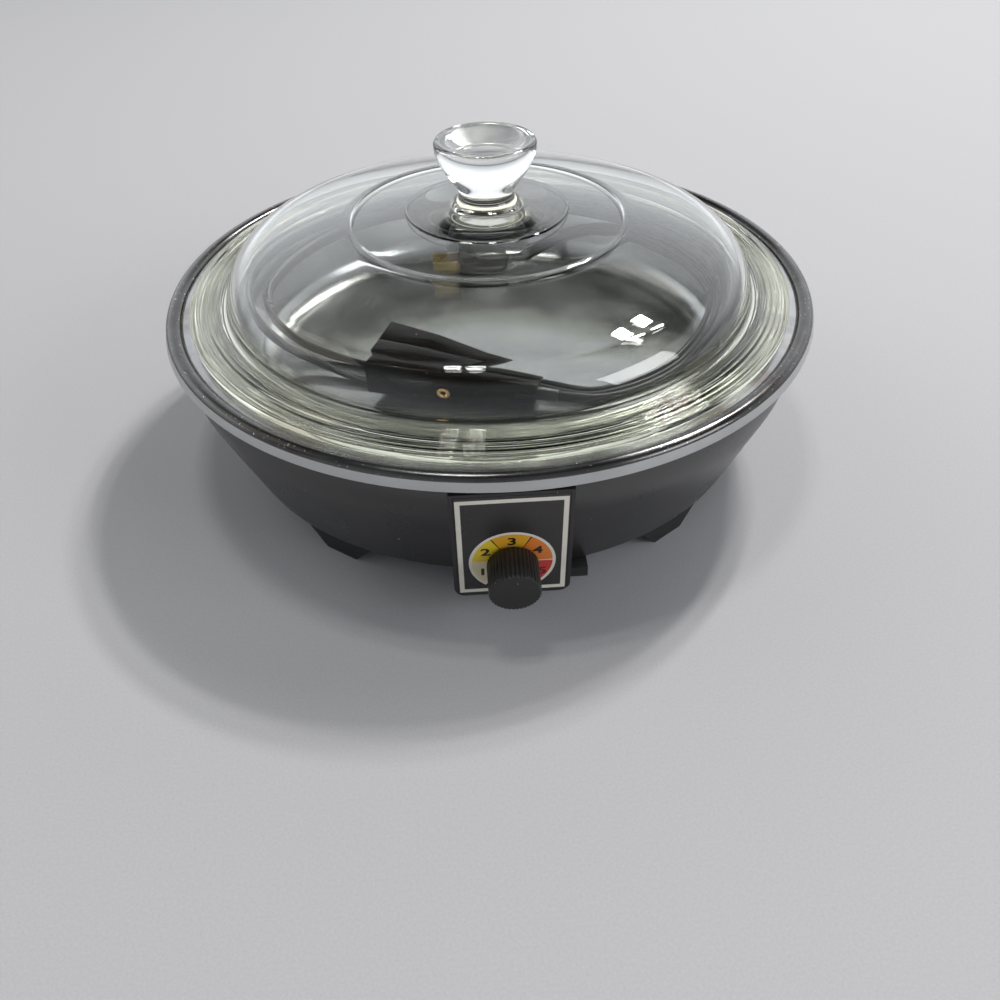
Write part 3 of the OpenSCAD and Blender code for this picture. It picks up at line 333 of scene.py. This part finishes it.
# ---- Pan ----
# A spun aluminium pan with a dark mirror-smooth lining that runs over the ledge and the rolled
# bead. The skirt below the bead is left as a satin band, and the underside is bare metal.
RIM_R, RIM_Z, LEDGE_Z, FLOOR_Z = 165.0, 80.0, 84.0, 35.0
WALL_R, CORNER_R, WALL_LEAN, PAN_T = 140.5, 16.0, math.radians(10), 2.5
LEDGE_CORNER_R, BAND_T, BEAD_HALF_W, BEAD_RISE = 1.2, 1.2, 3.9, 2.8
SEGMENTS, ON_AXIS = 288, 1e-6


def arc(x, z, r, start, end, steps):
    """Points of an arc about (x, z), in degrees."""
    turns = [math.radians(start + (end - start) * i / steps) for i in range(steps + 1)]
    return [(x + r * math.cos(a), z + r * math.sin(a)) for a in turns]


def turned(name, zones, body, replaced=(), sharp=SHARP, closed=False):
    """A piece turned about the pan's axis. zones are (material, outline) in millimetres, one after
    another along the piece's outline."""
    outline, kinds = [], []
    for number, (material, part) in enumerate(zones):
        outline += part
        kinds += [number] * len(part)
    starts, points = [], []
    for r, z in outline:
        starts.append(len(points))
        points += [(r * math.cos(k * math.tau / SEGMENTS) * MM,
                    (r * math.sin(k * math.tau / SEGMENTS) + axis_y) * MM, z * MM)
                   for k in range(1 if r < ON_AXIS else SEGMENTS)]
    faces, indices = [], []
    pairs = list(zip(range(len(outline) - 1), range(1, len(outline))))
    if closed:
        pairs.append((len(outline) - 1, 0))
    for i, j in pairs:
        a, b = starts[i], starts[j]
        one, two = outline[i][0] < ON_AXIS, outline[j][0] < ON_AXIS
        for k in range(SEGMENTS):
            n = (k + 1) % SEGMENTS
            faces.append((a, b + k, b + n) if one else (a + k, a + n, b) if two
                         else (a + k, a + n, b + n, b + k))
            indices.append(kinds[j])
    return piece(name, points, faces, body, [m for m, part in zones], replaced, sharp, indices)


# The lining: cloudy reflections from a slightly uneven spun surface, brown baked on at the rim, and
# a darker bead with pale specks on it, partly painted glints of light and partly chips
lining, tree, shader = blank("dark_lining")
place = add(tree, "TexCoord").outputs["Object"]
surface = add(tree, "Group", node_tree=skin)
wire(tree, surface, {"Colour": (0.4, 0.405, 0.41, 1), "Roughness": 0.19, "Mottle": 0.12,
                     "Grain Scale": 700.0})
spots = add(tree, "Group", {"Share": 0.06, "Scale": 300.0, "Size": 0.1}, node_tree=specks)
baked = add(tree, "TexNoise", {"Vector": place, "Scale": 26.0, "Detail": 6.0, "Roughness": 0.65})
split = add(tree, "SeparateXYZ", {0: place}).outputs
at_rim = ranged(tree, split[2], 0.080, 0.085, 0.0, 0.55)
stain = sums(tree, "MULTIPLY", ranged(tree, baked.outputs[0], 0.5, 0.68, 0.0, 1.0), at_rim)
shown = tint(tree, stain, surface.outputs["Colour"], (0.12, 0.055, 0.03, 1))
on_bead = ranged(tree, split[2], 0.0842, 0.0846, 0.0, 0.82)
shown = tint(tree, on_bead, shown, (0.035, 0.033, 0.032, 1))
# pale specks on the bead: partly painted highlights standing in for glints of light, partly chips in the
# coat
glints = add(tree, "Group", {"Share": 0.16, "Scale": 900.0, "Size": 0.2}, node_tree=specks)
painted_glints_and_chips = sums(tree, "MULTIPLY", on_bead, glints.outputs["Mask"])
shown = tint(tree, painted_glints_and_chips, shown, (0.8, 0.79, 0.76, 1))
shown = tint(tree, spots.outputs["Mask"], shown, (0.5, 0.5, 0.48, 1))
waves = add(tree, "TexNoise", {"Vector": place, "Scale": 14.0, "Detail": 1.0}).outputs[0]
height = sums(tree, "MULTIPLY_ADD", waves, 14.0)
wire(tree, height.node, {2: surface.outputs["Height"]})
bump = add(tree, "Bump", {"Height": height, "Strength": 1.0, "Distance": 0.00002})
wire(tree, shader, {"Metallic": 0.9, "Base Color": shown, "Roughness": surface.outputs["Roughness"],
                    "Normal": bump.outputs[0]})
satin_band = coated("satin_band", (0.52, 0.53, 0.53), 0.42, metallic=0.75, mottle=0.08, grain=2600,
                    depth=0.02, dust=0.08, dust_colour=(0.25, 0.25, 0.26), dust_scale=700)
bare_aluminium = coated("bare_aluminium", (0.55, 0.55, 0.55), 0.5, metallic=1.0, mottle=0.15)

floor_r = WALL_R - CORNER_R * math.cos(WALL_LEAN) - (
    LEDGE_Z - FLOOR_Z - CORNER_R + CORNER_R * math.sin(WALL_LEAN)) * math.tan(WALL_LEAN)
corner_z = FLOOR_Z + CORNER_R
bead_x = RIM_R - BAND_T - BEAD_HALF_W
lining_outline = (
    [(0, FLOOR_Z), (40, FLOOR_Z), (80, FLOOR_Z)]
    + arc(floor_r, corner_z, CORNER_R, -90, -math.degrees(WALL_LEAN), 16)
    + arc(WALL_R + LEDGE_CORNER_R, LEDGE_Z - LEDGE_CORNER_R, LEDGE_CORNER_R,
          180 - math.degrees(WALL_LEAN), 90, 5)
    + [(WALL_R + 6, LEDGE_Z), (bead_x - BEAD_HALF_W - 0.4, LEDGE_Z)]
    + [(bead_x + BEAD_HALF_W * math.cos(math.radians(a)),
        LEDGE_Z + BEAD_RISE * math.sin(math.radians(a))) for a in range(172, 3, -8)]
    + [(RIM_R - BAND_T, LEDGE_Z + 0.35)])
band_outline = [(RIM_R - 1.15, LEDGE_Z), (RIM_R - 0.2, RIM_Z + 0.5), (RIM_R - 0.25, RIM_Z + 0.1),
                (RIM_R - 0.6, RIM_Z), (RIM_R - 1.3, RIM_Z)]
under_outline = (
    [(RIM_R - 1.5, RIM_Z + 0.3), (RIM_R - 2.7, LEDGE_Z - PAN_T),
     (WALL_R + PAN_T / math.cos(WALL_LEAN) - PAN_T * math.tan(WALL_LEAN), LEDGE_Z - PAN_T)]
    + arc(floor_r, corner_z, CORNER_R + PAN_T, -math.degrees(WALL_LEAN), -90, 12)
    + [(0, FLOOR_Z - PAN_T)])
turned("pan_spun", [(lining, lining_outline), (satin_band, band_outline),
                    (bare_aluminium, under_outline)], "root", ["cooking_pan"])

# ---- Base ----
# A drawn steel bowl in satin black enamel, which carries the pan's rim. It is open at the front for
# the heat control and at the back for the inlet.
STAND_H, BASE_TOP_R, BASE_TOP_Z, BASE_LOW_R, HOLE_R = 12.0, 159.5, 81.5, 140.0, 116.0
BASE_T, SLANT_H, SWELL_R, LOW_CORNER_R = 1.4, 52, 60, 2
base_enamel = coated("base_enamel", (0.015, 0.0142, 0.014), 0.3, grain=420, depth=0.035, mottle=0.3,
                     dust=0.05, dust_colour=(0.42, 0.41, 0.4), dust_size=0.1, dust_scale=230,
                     shine=1.0)
slope = math.atan((BASE_TOP_R - BASE_LOW_R) / SLANT_H)
slope_deg = math.degrees(slope)
swell = (BASE_TOP_R - SWELL_R, STAND_H + SLANT_H + SWELL_R * math.tan(slope / 2))
base_outline = (
    [(HOLE_R, STAND_H), (HOLE_R + 10, STAND_H)]
    + arc(BASE_LOW_R - LOW_CORNER_R, STAND_H + LOW_CORNER_R, LOW_CORNER_R, -90, -slope_deg, 6)
    + arc(*swell, SWELL_R, -slope_deg, 0, 20)
    + [(BASE_TOP_R, BASE_TOP_Z), (BASE_TOP_R - BASE_T, BASE_TOP_Z)]
    + arc(*swell, SWELL_R - BASE_T, 0, -slope_deg, 20)
    + [(BASE_LOW_R - BASE_T / math.cos(slope) + BASE_T * math.tan(slope), STAND_H + BASE_T),
       (HOLE_R, STAND_H + BASE_T)])
base = turned("base_bowl", [(base_enamel, base_outline)], "root", ["base_shell"],
              closed=True)


def block(name, low, high):
    """A plain block in millimetres about the pan's axis, to cut with."""
    mesh = bpy.data.meshes.new(name)
    x, y, z = zip(low, high)
    corners = [(a * MM, (b + axis_y) * MM, c * MM) for a in x for b in y for c in z]
    mesh.from_pydata(corners, [], [(0, 1, 3, 2), (4, 6, 7, 5), (0, 4, 5, 1), (2, 3, 7, 6),
                                   (0, 2, 6, 4), (1, 5, 7, 3)])
    return bpy.data.objects.new(name, mesh)


def cut(thing, tools):
    """Cuts the tools out of a piece for good."""
    for tool in tools:
        bpy.context.scene.collection.objects.link(tool)
        opening = thing.modifiers.new("cut", "BOOLEAN")
        opening.operation, opening.solver, opening.object = "DIFFERENCE", "EXACT", tool
    bpy.context.view_layer.update()
    result = bpy.data.meshes.new_from_object(
        thing.evaluated_get(bpy.context.evaluated_depsgraph_get()))
    thing.modifiers.clear()
    thing.data = result
    result.shade_smooth()
    result.set_sharp_from_angle(angle=math.radians(SHARP))
    for tool in tools:
        bpy.data.objects.remove(tool)


cut(base, [block("control_window", (-21, -170, 15.6), (21, -124, 90)),
           block("inlet_window", (-27.5, 124, 20.5), (27.5, 170, 47.5))])

# ---- Feet ----
# Four wedges of matt black phenolic that lift the base off the table. Each is moulded with a well,
# and one screw up through the well holds it to the base.
foot_black = coated("foot_black", (0.018, 0.018, 0.018), 0.5, grain=1100, depth=0.04, dust=0.03)
for place in ("front_right", "back_right", "back_left", "front_left"):
    softened("foot_wedge_" + place, "foot_" + place, "root", foot_black, 0.7)

# ---- Lid ----
# One piece of clear pressed glass: the domed crown with its knob and the disc under it, a fine
# mould line, and a flat flange with pressed rings that rests on the pan's ledge.
CROWN_R, SHOULDER_R, DOME_R, LID_R, GLASS_T, DOME_TOP = 430.0, 22.0, 133.0, 152.0, 4.0, 126.0
SEAT_GAP, FLANGE_T, RING_COUNT, RING_RISE = 0.2, 3.8, 5, 0.7
lid_glass, tree, shader = blank("pressed_glass")
wire(tree, shader, {"Transmission Weight": 1.0, "IOR": 1.5})
place = add(tree, "TexCoord").outputs["Object"]
waves = add(tree, "TexNoise", {"Vector": place, "Scale": 20.0, "Detail": 0.0}).outputs[0]
smears = add(tree, "TexNoise", {"Vector": place, "Scale": 60.0, "Detail": 6.0, "Roughness": 0.7})
scuffs = add(tree, "Group", {"Scale": 420.0, "Size": 0.09, "Share": 0.04}, node_tree=specks)
gloss = sums(tree, "ADD", ranged(tree, smears.outputs[0], 0.5, 0.75, 0.0, 0.015),
             ranged(tree, scuffs.outputs["Mask"], 0.0, 1.0, 0.0, 0.25))
split = add(tree, "SeparateXYZ", {0: place}).outputs
low_down = ranged(tree, split[2], 0.084, 0.096, 1.0, 0.0)
body_tint = tint(tree, low_down, (0.965, 0.975, 0.965, 1), (0.85, 0.86, 0.69, 1))
at_neck = sums(tree, "MULTIPLY", ranged(tree, split[2], 0.125, 0.128, 0.0, 1.0),
               ranged(tree, split[2], 0.13, 0.137, 1.0, 0.0))
body_tint = tint(tree, at_neck, body_tint, (0.95, 0.91, 0.7, 1))
body_tint = tint(tree, ranged(tree, smears.outputs[0], 0.45, 0.8, 0.0, 0.3), body_tint,
                 (0.88, 0.9, 0.84, 1))
bump = add(tree, "Bump", {"Height": waves, "Strength": 1.0, "Distance": 0.00009})
wire(tree, shader, {"Base Color": body_tint, "Roughness": gloss, "Normal": bump.outputs[0]})
# the lamps' light passes the glass straight, so that what lies in the pan isn't in its shadow
rays = add(tree, "LightPath")
clear = add(tree, "BsdfTransparent", {"Color": (0.9, 0.92, 0.9, 1)})
either = add(tree, "MixShader", {0: rays.outputs["Is Shadow Ray"], 1: shader.outputs[0],
                                 2: clear.outputs[0]})
wire(tree, tree.nodes["Material Output"], {"Surface": either.outputs[0]})

seat_z = LEDGE_Z + SEAT_GAP
flange_z = seat_z + FLANGE_T
crown_z = DOME_TOP - CROWN_R
shoulder_x = DOME_R - SHOULDER_R
shoulder_turn = math.degrees(math.acos(shoulder_x / (CROWN_R - SHOULDER_R)))
shoulder_z = crown_z + (CROWN_R - SHOULDER_R) * math.sin(math.radians(shoulder_turn))
GRIP_R, WAIST_R, FOOT_R, GRIP_H, DISC_R, LINE_R, LIP_R = 24.6, 13.3, 19.8, 32.0, 40.3, 68.0, 2.4
WAIST_SHARE, GRIP_FLARE = 0.22, 1.25


def crown(r):
    """The height of the dome's outer face at a radius."""
    return crown_z + math.sqrt(CROWN_R ** 2 - r * r)


def steps(low, high, count):
    """Even steps from low to high, both included."""
    return [low + (high - low) * i / count for i in range(count + 1)]


waist_z, grip_top = DOME_TOP + GRIP_H * WAIST_SHARE, DOME_TOP + GRIP_H
grip = (
    [(0, grip_top - 1.3), (GRIP_R - 9, grip_top - 1.0), (GRIP_R - 5, grip_top - 0.7)]
    + arc(GRIP_R - LIP_R, grip_top - LIP_R, LIP_R, 90, 15, 8)
    + [(WAIST_R + (GRIP_R - WAIST_R) * math.sin(math.radians(90 * t)) ** GRIP_FLARE,
        waist_z + (grip_top - LIP_R - waist_z) * t) for t in steps(0.95, 0.05, 18)]
    + [(FOOT_R - (FOOT_R - WAIST_R) * math.sin(math.radians(90 * t)),
        DOME_TOP + 0.6 + (waist_z - DOME_TOP - 0.6) * (1 - math.cos(math.radians(90 * t))))
       for t in steps(1, 0, 14)]
    + [(FOOT_R + 1.5, DOME_TOP + 0.2), (DISC_R - 1, crown(DISC_R) + 0.75),
       (DISC_R - 0.4, crown(DISC_R) + 0.6), (DISC_R, crown(DISC_R))])
rings_start, rings_end = DOME_R + 2.5, LID_R - 2.5
ring_pitch = (rings_end - rings_start) / RING_COUNT
rising = math.degrees(math.asin((flange_z + 2.4 - shoulder_z) / SHOULDER_R))
dome = (
    [(r, crown(r)) for r in steps(DISC_R + 3, LINE_R - 1.2, 6)]
    + [(LINE_R - 0.5, crown(LINE_R) + 0.12), (LINE_R, crown(LINE_R) + 0.35),
       (LINE_R + 0.5, crown(LINE_R) + 0.12)]
    + [(r, crown(r)) for r in steps(LINE_R + 1.2, shoulder_x - 2, 8)]
    + arc(shoulder_x, shoulder_z, SHOULDER_R, shoulder_turn, rising, 22)
    + [(DOME_R + 0.25, flange_z + 1.7), (DOME_R + 0.8, flange_z + 0.9),
       (DOME_R + 1.6, flange_z + 0.3)]
    + [(r, flange_z + RING_RISE * math.sin(math.pi * (r - rings_start) / ring_pitch) ** 2)
       for r in steps(rings_start, rings_end, 40)]
    + [(LID_R - 1.2, flange_z)] + arc(LID_R - 0.8, flange_z - 0.8, 0.8, 80, 0, 4)
    + arc(LID_R - 0.8, seat_z + 0.8, 0.8, 0, -90, 4))
# underneath, a low ring keeps the lid in the middle of the pan, and the dome's inner face follows
under_glass = (
    [(139.2, seat_z), (138.4, seat_z - 0.8), (137.9, seat_z - 2.0), (137.3, seat_z - 2.2),
     (134.8, seat_z - 2.2), (134.3, seat_z - 1.8), (133.6, seat_z + 0.3)]
    + arc(shoulder_x, shoulder_z, SHOULDER_R - GLASS_T, 2, shoulder_turn - 2, 22)
    + [(r, crown_z + math.sqrt((CROWN_R - GLASS_T) ** 2 - r * r))
       for r in steps(shoulder_x - 2, 8, 12)]
    + [(0, DOME_TOP - GLASS_T)])
turned("lid_pressed_glass", [(lid_glass, grip + dome + under_glass)], "lid",
       ["glass_lid"], sharp=50)

# ---- Heat control ----
# A moulded phenolic housing with a box behind it and a lip that hooks under the base. A printed
# aluminium plate lies in its face, and a fluted knob turns the thermostat's shaft.
housing_black = coated("housing_black", (0.02, 0.02, 0.021), 0.33, grain=900, depth=0.03, dust=0.05,
                       dust_size=0.1, mottle=0.2)
softened("control_case", "control_housing", "root", housing_black, 0.18,
         clamp=False)
plate_black = coated("plate_black", (0.032, 0.03, 0.03), 0.3, grain=1800, depth=0.01, dust=0.04,
                     dust_size=0.09, dust_scale=300)
finish("dial_plate", plate_black)
DIAL_MIDDLE = Vector((0, axis_y - 158.2, 35.0)) * MM
TILT = math.radians(4.4)
dial_up = Vector((0, -math.sin(TILT), math.cos(TILT)))
dial_out = Vector((0, -math.cos(TILT), -math.sin(TILT)))
dial_right = Vector((1, 0, 0))


def on_dial(x, y, out=0.0):
    """A point in millimetres on the panel: right, up and out from the dial's middle."""
    return DIAL_MIDDLE + (dial_right * x + dial_up * y + dial_out * out) * MM


# The print: each ink has its own colour and a little wear
INK_LIFT = 0.02
INKS = {
    "off_white": (0.78, 0.75, 0.66), "cream": (0.74, 0.66, 0.42), "yellow": (0.8, 0.58, 0.03),
    "golden": (0.78, 0.4, 0.03), "orange": (0.78, 0.22, 0.03), "red": (0.6, 0.045, 0.035),
    "black": (0.016, 0.014, 0.013), "dark_red": (0.12, 0.008, 0.008)}
inks = {ink: coated("ink_" + ink, colour, 0.36, grain=2600, depth=0.006, mottle=0.1, dust=0.05,
                    dust_colour=(0.07, 0.06, 0.05), dust_size=0.1, dust_scale=520)
        for ink, colour in INKS.items()}
ink_names = list(INKS)
print_points, print_faces, print_kinds = [], [], []


def printed(inner, outer, start, end, ink):
    """Prints a sector of a ring, from start to end degrees."""
    count = max(1, round((end - start) / 3))
    turns = [math.radians(start + (end - start) * i / count) for i in range(count + 1)]
    first = len(print_points)
    for a in turns:
        for r in (inner, outer):
            print_points.append(on_dial(r * math.cos(a), r * math.sin(a), INK_LIFT))
    for i in range(count):
        a = first + 2 * i
        print_faces.append((a, a + 1, a + 3, a + 2))
        print_kinds.append(ink_names.index(ink))


SCALE_IN_R, SCALE_OUT_R, SCALE_EDGE_R, SCALE_START, SCALE_END = 9.3, 17.35, 18.7, -52, 231
SECTORS = (("red", SCALE_START, -0.5), ("orange", 1.5, 61), ("golden", 63, 120.5),
           ("yellow", 122.5, 175), ("cream", 175, SCALE_END), ("off_white", -0.5, 1.5),
           ("black", 61, 63), ("black", 120.5, 122.5))
for ink, start, end in SECTORS:
    printed(SCALE_IN_R, SCALE_OUT_R, start, end, ink)
printed(SCALE_OUT_R, SCALE_EDGE_R, SCALE_START, SCALE_END, "off_white")
BORDER_X, BORDER_IN_X = 23.2, 21.1
BORDER_TOP, BORDER_IN_TOP, BORDER_IN_LOW, BORDER_LOW = 38.5, 36.4, -17.0, -19.1
for left, top, right, low in ((-BORDER_X, BORDER_TOP, BORDER_X, BORDER_IN_TOP),
                              (-BORDER_X, BORDER_IN_LOW, BORDER_X, BORDER_LOW),
                              (-BORDER_X, BORDER_IN_TOP, -BORDER_IN_X, BORDER_IN_LOW),
                              (BORDER_IN_X, BORDER_IN_TOP, BORDER_X, BORDER_IN_LOW)):
    first = len(print_points)
    print_points += [on_dial(x, y, INK_LIFT)
                     for x, y in ((left, low), (right, low), (right, top), (left, top))]
    print_faces.append((first, first + 1, first + 2, first + 3))
    print_kinds.append(ink_names.index("off_white"))
piece("dial_print", print_points, print_faces, "root", list(inks.values()),
      kinds=print_kinds)

NUMERAL_SIZE, STROKE_GAIN, WIDENED, NUMERAL_LIFT, NO_AREA = 6.0, 0.2, 1.4, 0.04, 1e-6
NUMERALS = (("1", -12.85, -5.9, "black"), ("2", -11.4, 6.9, "black"), ("3", -0.15, 12.8, "black"),
            ("4", 10.9, 6.7, "black"), ("5", 12.8, -7.1, "dark_red"))
for numeral, x, y, ink in NUMERALS:
    letter = bpy.data.curves.new("numeral", "FONT")
    letter.body = numeral
    letter.align_x, letter.align_y = "CENTER", "CENTER"
    letter.size = NUMERAL_SIZE
    letter.offset = STROKE_GAIN
    flat = bpy.data.objects.new("numeral", letter)
    bpy.context.scene.collection.objects.link(flat)
    bpy.context.view_layer.update()
    shape = bpy.data.meshes.new_from_object(
        flat.evaluated_get(bpy.context.evaluated_depsgraph_get()))
    bpy.data.objects.remove(flat)
    piece("dial_numeral_" + numeral,
          [on_dial(x + WIDENED * v.co.x, y + v.co.y, NUMERAL_LIFT) for v in shape.vertices],
          [tuple(p.vertices) for p in shape.polygons if p.area > NO_AREA], "root",
          [inks[ink]])

# The knob: a fluted barrel with a plain flat face, moulded in matt black phenolic
knob_black = coated("knob_black", (0.014, 0.0135, 0.013), 0.33, grain=1300, depth=0.03, dust=0.06,
                    dust_size=0.09, dust_scale=500)
KNOB_R, KNOB_FACE, KNOB_BACK, BORE_R = 11.2, 17.5, 0.9, 8.75
FLUTES, POINTS_A_FLUTE, FLUTE_DEPTH = 38, 8, 0.55
around = FLUTES * POINTS_A_FLUTE
FLUTE_SHAPE = 1.4
# radius, the share of the flutes' depth, and distance out from the dial
stations = (
    [(BORE_R, 0, KNOB_BACK + 5), (BORE_R, 0, KNOB_BACK), (KNOB_R - 0.5, 0.2, KNOB_BACK),
     (KNOB_R - 0.15, 0.9, KNOB_BACK + 0.3), (KNOB_R, 1, KNOB_BACK + 0.8)]
    + [(KNOB_R, 1, z) for z in steps(KNOB_BACK + 3, KNOB_FACE - 1.6, 5)]
    + [(KNOB_R, 1.1, KNOB_FACE - 0.7), (KNOB_R - 0.08, 1.2, KNOB_FACE - 0.25),
       (KNOB_R - 0.3, 1.1, KNOB_FACE - 0.03), (KNOB_R - 1.3, 0, KNOB_FACE),
       (KNOB_R - 4, 0, KNOB_FACE)])
points = []
for r, share, z in stations:
    for k in range(around):
        a = k * math.tau / around
        groove = FLUTE_DEPTH * share * (0.5 - 0.5 * math.cos(FLUTES * a)) ** FLUTE_SHAPE
        points.append(on_dial((r - groove) * math.cos(a), (r - groove) * math.sin(a), z))
faces = [(i * around + k, i * around + (k + 1) % around, (i + 1) * around + (k + 1) % around,
          (i + 1) * around + k) for i in range(len(stations) - 1) for k in range(around)]
faces += [tuple(range(around)), tuple(range((len(stations) - 1) * around, len(stations) * around))]
piece("control_knob_fluted", points, faces, "knob", [knob_black], ["control_knob"],
      sharp=50)

# Inside the case: the shaft and its spring, the bushing and nut, and the thermostat's blades
shaft_brass = coated("shaft_brass", (0.68, 0.56, 0.32), 0.3, metallic=1.0, mottle=0.12, depth=0.01)
zinc = coated("zinc_plate", (0.56, 0.56, 0.57), 0.38, metallic=1.0, mottle=0.15, grain=1200)
spring_steel = coated("spring_steel", (0.6, 0.6, 0.58), 0.25, metallic=1.0, mottle=0.1)
steatite = coated("steatite", (0.8, 0.77, 0.69), 0.62, grain=1600, depth=0.03, mottle=0.06)
bimetal = coated("rolled_strip", (0.5, 0.45, 0.36), 0.32, metallic=1.0, mottle=0.15)
silver = coated("contact_silver", (0.75, 0.75, 0.73), 0.25, metallic=1.0, mottle=0.12)
for node, material in (
        ("control_shaft", shaft_brass), ("knob_spring", spring_steel),
        ("thermostat_plate", zinc), ("thermostat_bushing", shaft_brass), ("bushing_nut", zinc),
        ("thermostat_body", steatite), ("bimetal_blade", bimetal), ("contact_blade", bimetal),
        ("contact_buttons", silver), ("stack_spacer", steatite)):
    finish(node, material)

# ---- Element ----
# A steel-sheathed heating ring with its surface browned by use. Zinc-plated clamps hold it under
# the pan, and ceramic beads close its two legs, where nickel-plated terminals stand out.
sheath = coated("browned_sheath", (0.33, 0.3, 0.27), 0.45, metallic=0.9, mottle=0.35, grain=900)
nickel = coated("nickel_plate", (0.7, 0.69, 0.66), 0.22, metallic=1.0, mottle=0.1)
for node, material in (("heating_element", sheath), ("element_clamps", zinc),
                       ("element_terminals", nickel), ("terminal_insulators", steatite)):
    finish(node, material)

# ---- Inlet and leads ----
# A phenolic shroud in the base's back holds two nickel-plated pins, and leads in woven glass sleeve
# run from them to the thermostat and the element.
inlet_black = coated("inlet_black", (0.02, 0.02, 0.02), 0.4, grain=1000, depth=0.03, dust=0.03)
softened("inlet_housing", "inlet_shroud", "root", inlet_black, 0.5)
finish("inlet_pins", nickel)
sleeving, tree, shader = blank("glass_sleeve")
place = add(tree, "TexCoord").outputs["Object"]
weave = [add(tree, "TexWave", {"Vector": place, "Scale": 420.0, "Distortion": 1.0},
             bands_direction=direction).outputs[1] for direction in ("X", "DIAGONAL")]
crossed = sums(tree, "MULTIPLY", *weave)
bump = add(tree, "Bump", {"Height": crossed, "Strength": 1.0, "Distance": 0.0001})
woven = tint(tree, crossed, (0.62, 0.59, 0.5, 1), (0.8, 0.78, 0.7, 1))
wire(tree, shader, {"Roughness": 0.75, "Base Color": woven, "Normal": bump.outputs[0]})
for node in ("lead_inlet_thermostat", "lead_thermostat_element", "lead_element_inlet"):
    finish(node, sleeving)

# ---- Bottom ----
# A zinc-plated steel sheet closes the hole in the base. Its screws go up into four aluminium posts
# under the pan, and each foot has a steel screw of its own.
screw_steel = coated("screw_steel", (0.58, 0.58, 0.58), 0.32, metallic=1.0, mottle=0.15)
for node, material in (("bottom_cover", zinc), ("support_posts", bare_aluminium),
                       ("cover_screws", screw_steel), ("foot_screws", screw_steel)):
    finish(node, material)

# ---- Table and light ----
# A plain pale table. The light comes from a four-paned window and a narrow strip at the back right,
# from small panes overhead, from a wide lamp at each side, and from a sky brightest low at the back.
table = bpy.data.objects.new("table", bpy.data.meshes.new("table"))
REACH = 6
table.data.from_pydata([(-REACH, -REACH, 0), (REACH, -REACH, 0), (REACH, REACH, 0),
                        (-REACH, REACH, 0)], [], [(0, 1, 2, 3)])
bpy.context.scene.collection.objects.link(table)
cloth, tree, shader = blank("pale_table")
place = add(tree, "TexCoord").outputs["Object"]
threads = add(tree, "TexNoise", {"Vector": place, "Scale": 900.0}).outputs[0]
woven = tint(tree, threads, (0.42, 0.42, 0.44, 1), (0.52, 0.52, 0.54, 1))
wire(tree, shader, {"Roughness": 0.85, "Base Color": woven})
table.data.materials.append(cloth)

world = bpy.data.worlds.new("sky")
world.use_nodes = True
bpy.context.scene.world = world
tree = world.node_tree
toward = add(tree, "TexCoord").outputs["Generated"]
split = add(tree, "SeparateXYZ", {0: toward}).outputs
at_back = ranged(tree, split[1], -0.2, 0.45, 0.0, 1.15)
band = sums(tree, "MULTIPLY", ranged(tree, split[2], -0.05, 0.2, 0.0, 1.0),
            ranged(tree, split[2], 0.54, 0.62, 1.0, 0.0))
at_left = ranged(tree, split[0], -1.0, -0.3, 0.22, 0.0)
at_front = sums(tree, "MULTIPLY", ranged(tree, split[1], -0.4, -0.05, 0.26, 0.0),
                ranged(tree, split[2], 0.82, 0.93, 1.0, 0.0))
at_front = sums(tree, "MULTIPLY", at_front, ranged(tree, split[2], 0.1, 0.5, 0.0, 1.0))
low_down = ranged(tree, split[2], 0.1, 0.56, 0.45, 0.03)
brightness = sums(tree, "ADD", sums(tree, "MULTIPLY", at_back, band), at_left)
brightness = sums(tree, "ADD", brightness, at_front)
brightness = sums(tree, "ADD", brightness, low_down)
wire(tree, tree.nodes["Background"], {"Strength": brightness, "Color": (0.93, 0.96, 1.0, 1)})

# Each lamp's azimuth from straight behind towards the right, elevation, distance, size, panes'
# offsets, watts a pane and colour
AIMED_AT = Vector((0, 0, 0.08))
for name, azimuth, elevation, away, size, offsets, power, colour in (
        ("window", 40.8, 50.7, 3.0, (0.13, 0.13), ((-0.13, -0.13), (0.13, -0.13), (-0.13, 0.13),
                                                   (0.13, 0.13)), 15.0, (1.0, 0.98, 0.95)),
        ("strip", 55.0, 55.5, 3.0, (0.8, 0.08), ((0, 0),), 6.0, (1.0, 0.98, 0.95)),
        ("skylight", 0.0, 84.0, 2.2, (0.13, 0.1), ((0.1, -0.1), (0.28, -0.1), (0.14, 0.1),
                                                   (0.32, 0.1)), 2.2, (1.0, 0.99, 0.96)),
        ("right", 118.0, 24.0, 2.4, (1.3, 1.0), ((0, 0),), 19.0, (0.97, 0.98, 1.0)),
        ("fill", -70.0, 40.0, 2.6, (1.6, 1.6), ((0, 0),), 4.5, (1.0, 0.95, 0.82))):
    turn, rise = math.radians(azimuth), math.radians(elevation)
    direction = Vector((math.sin(turn) * math.cos(rise), math.cos(turn) * math.cos(rise),
                        math.sin(rise)))
    facing = direction.to_track_quat("Z", "Y").to_matrix().to_4x4()
    for x, y in offsets:
        lamp = bpy.data.lights.new(name, "AREA")
        lamp.shape, lamp.size, lamp.size_y = "RECTANGLE", *size
        lamp.energy, lamp.color = power, colour
        holder = bpy.data.objects.new(name, lamp)
        holder.matrix_world = (Matrix.Translation(AIMED_AT + direction * away) @ facing
                               @ Matrix.Translation((x, y, 0)))
        bpy.context.scene.collection.objects.link(holder)
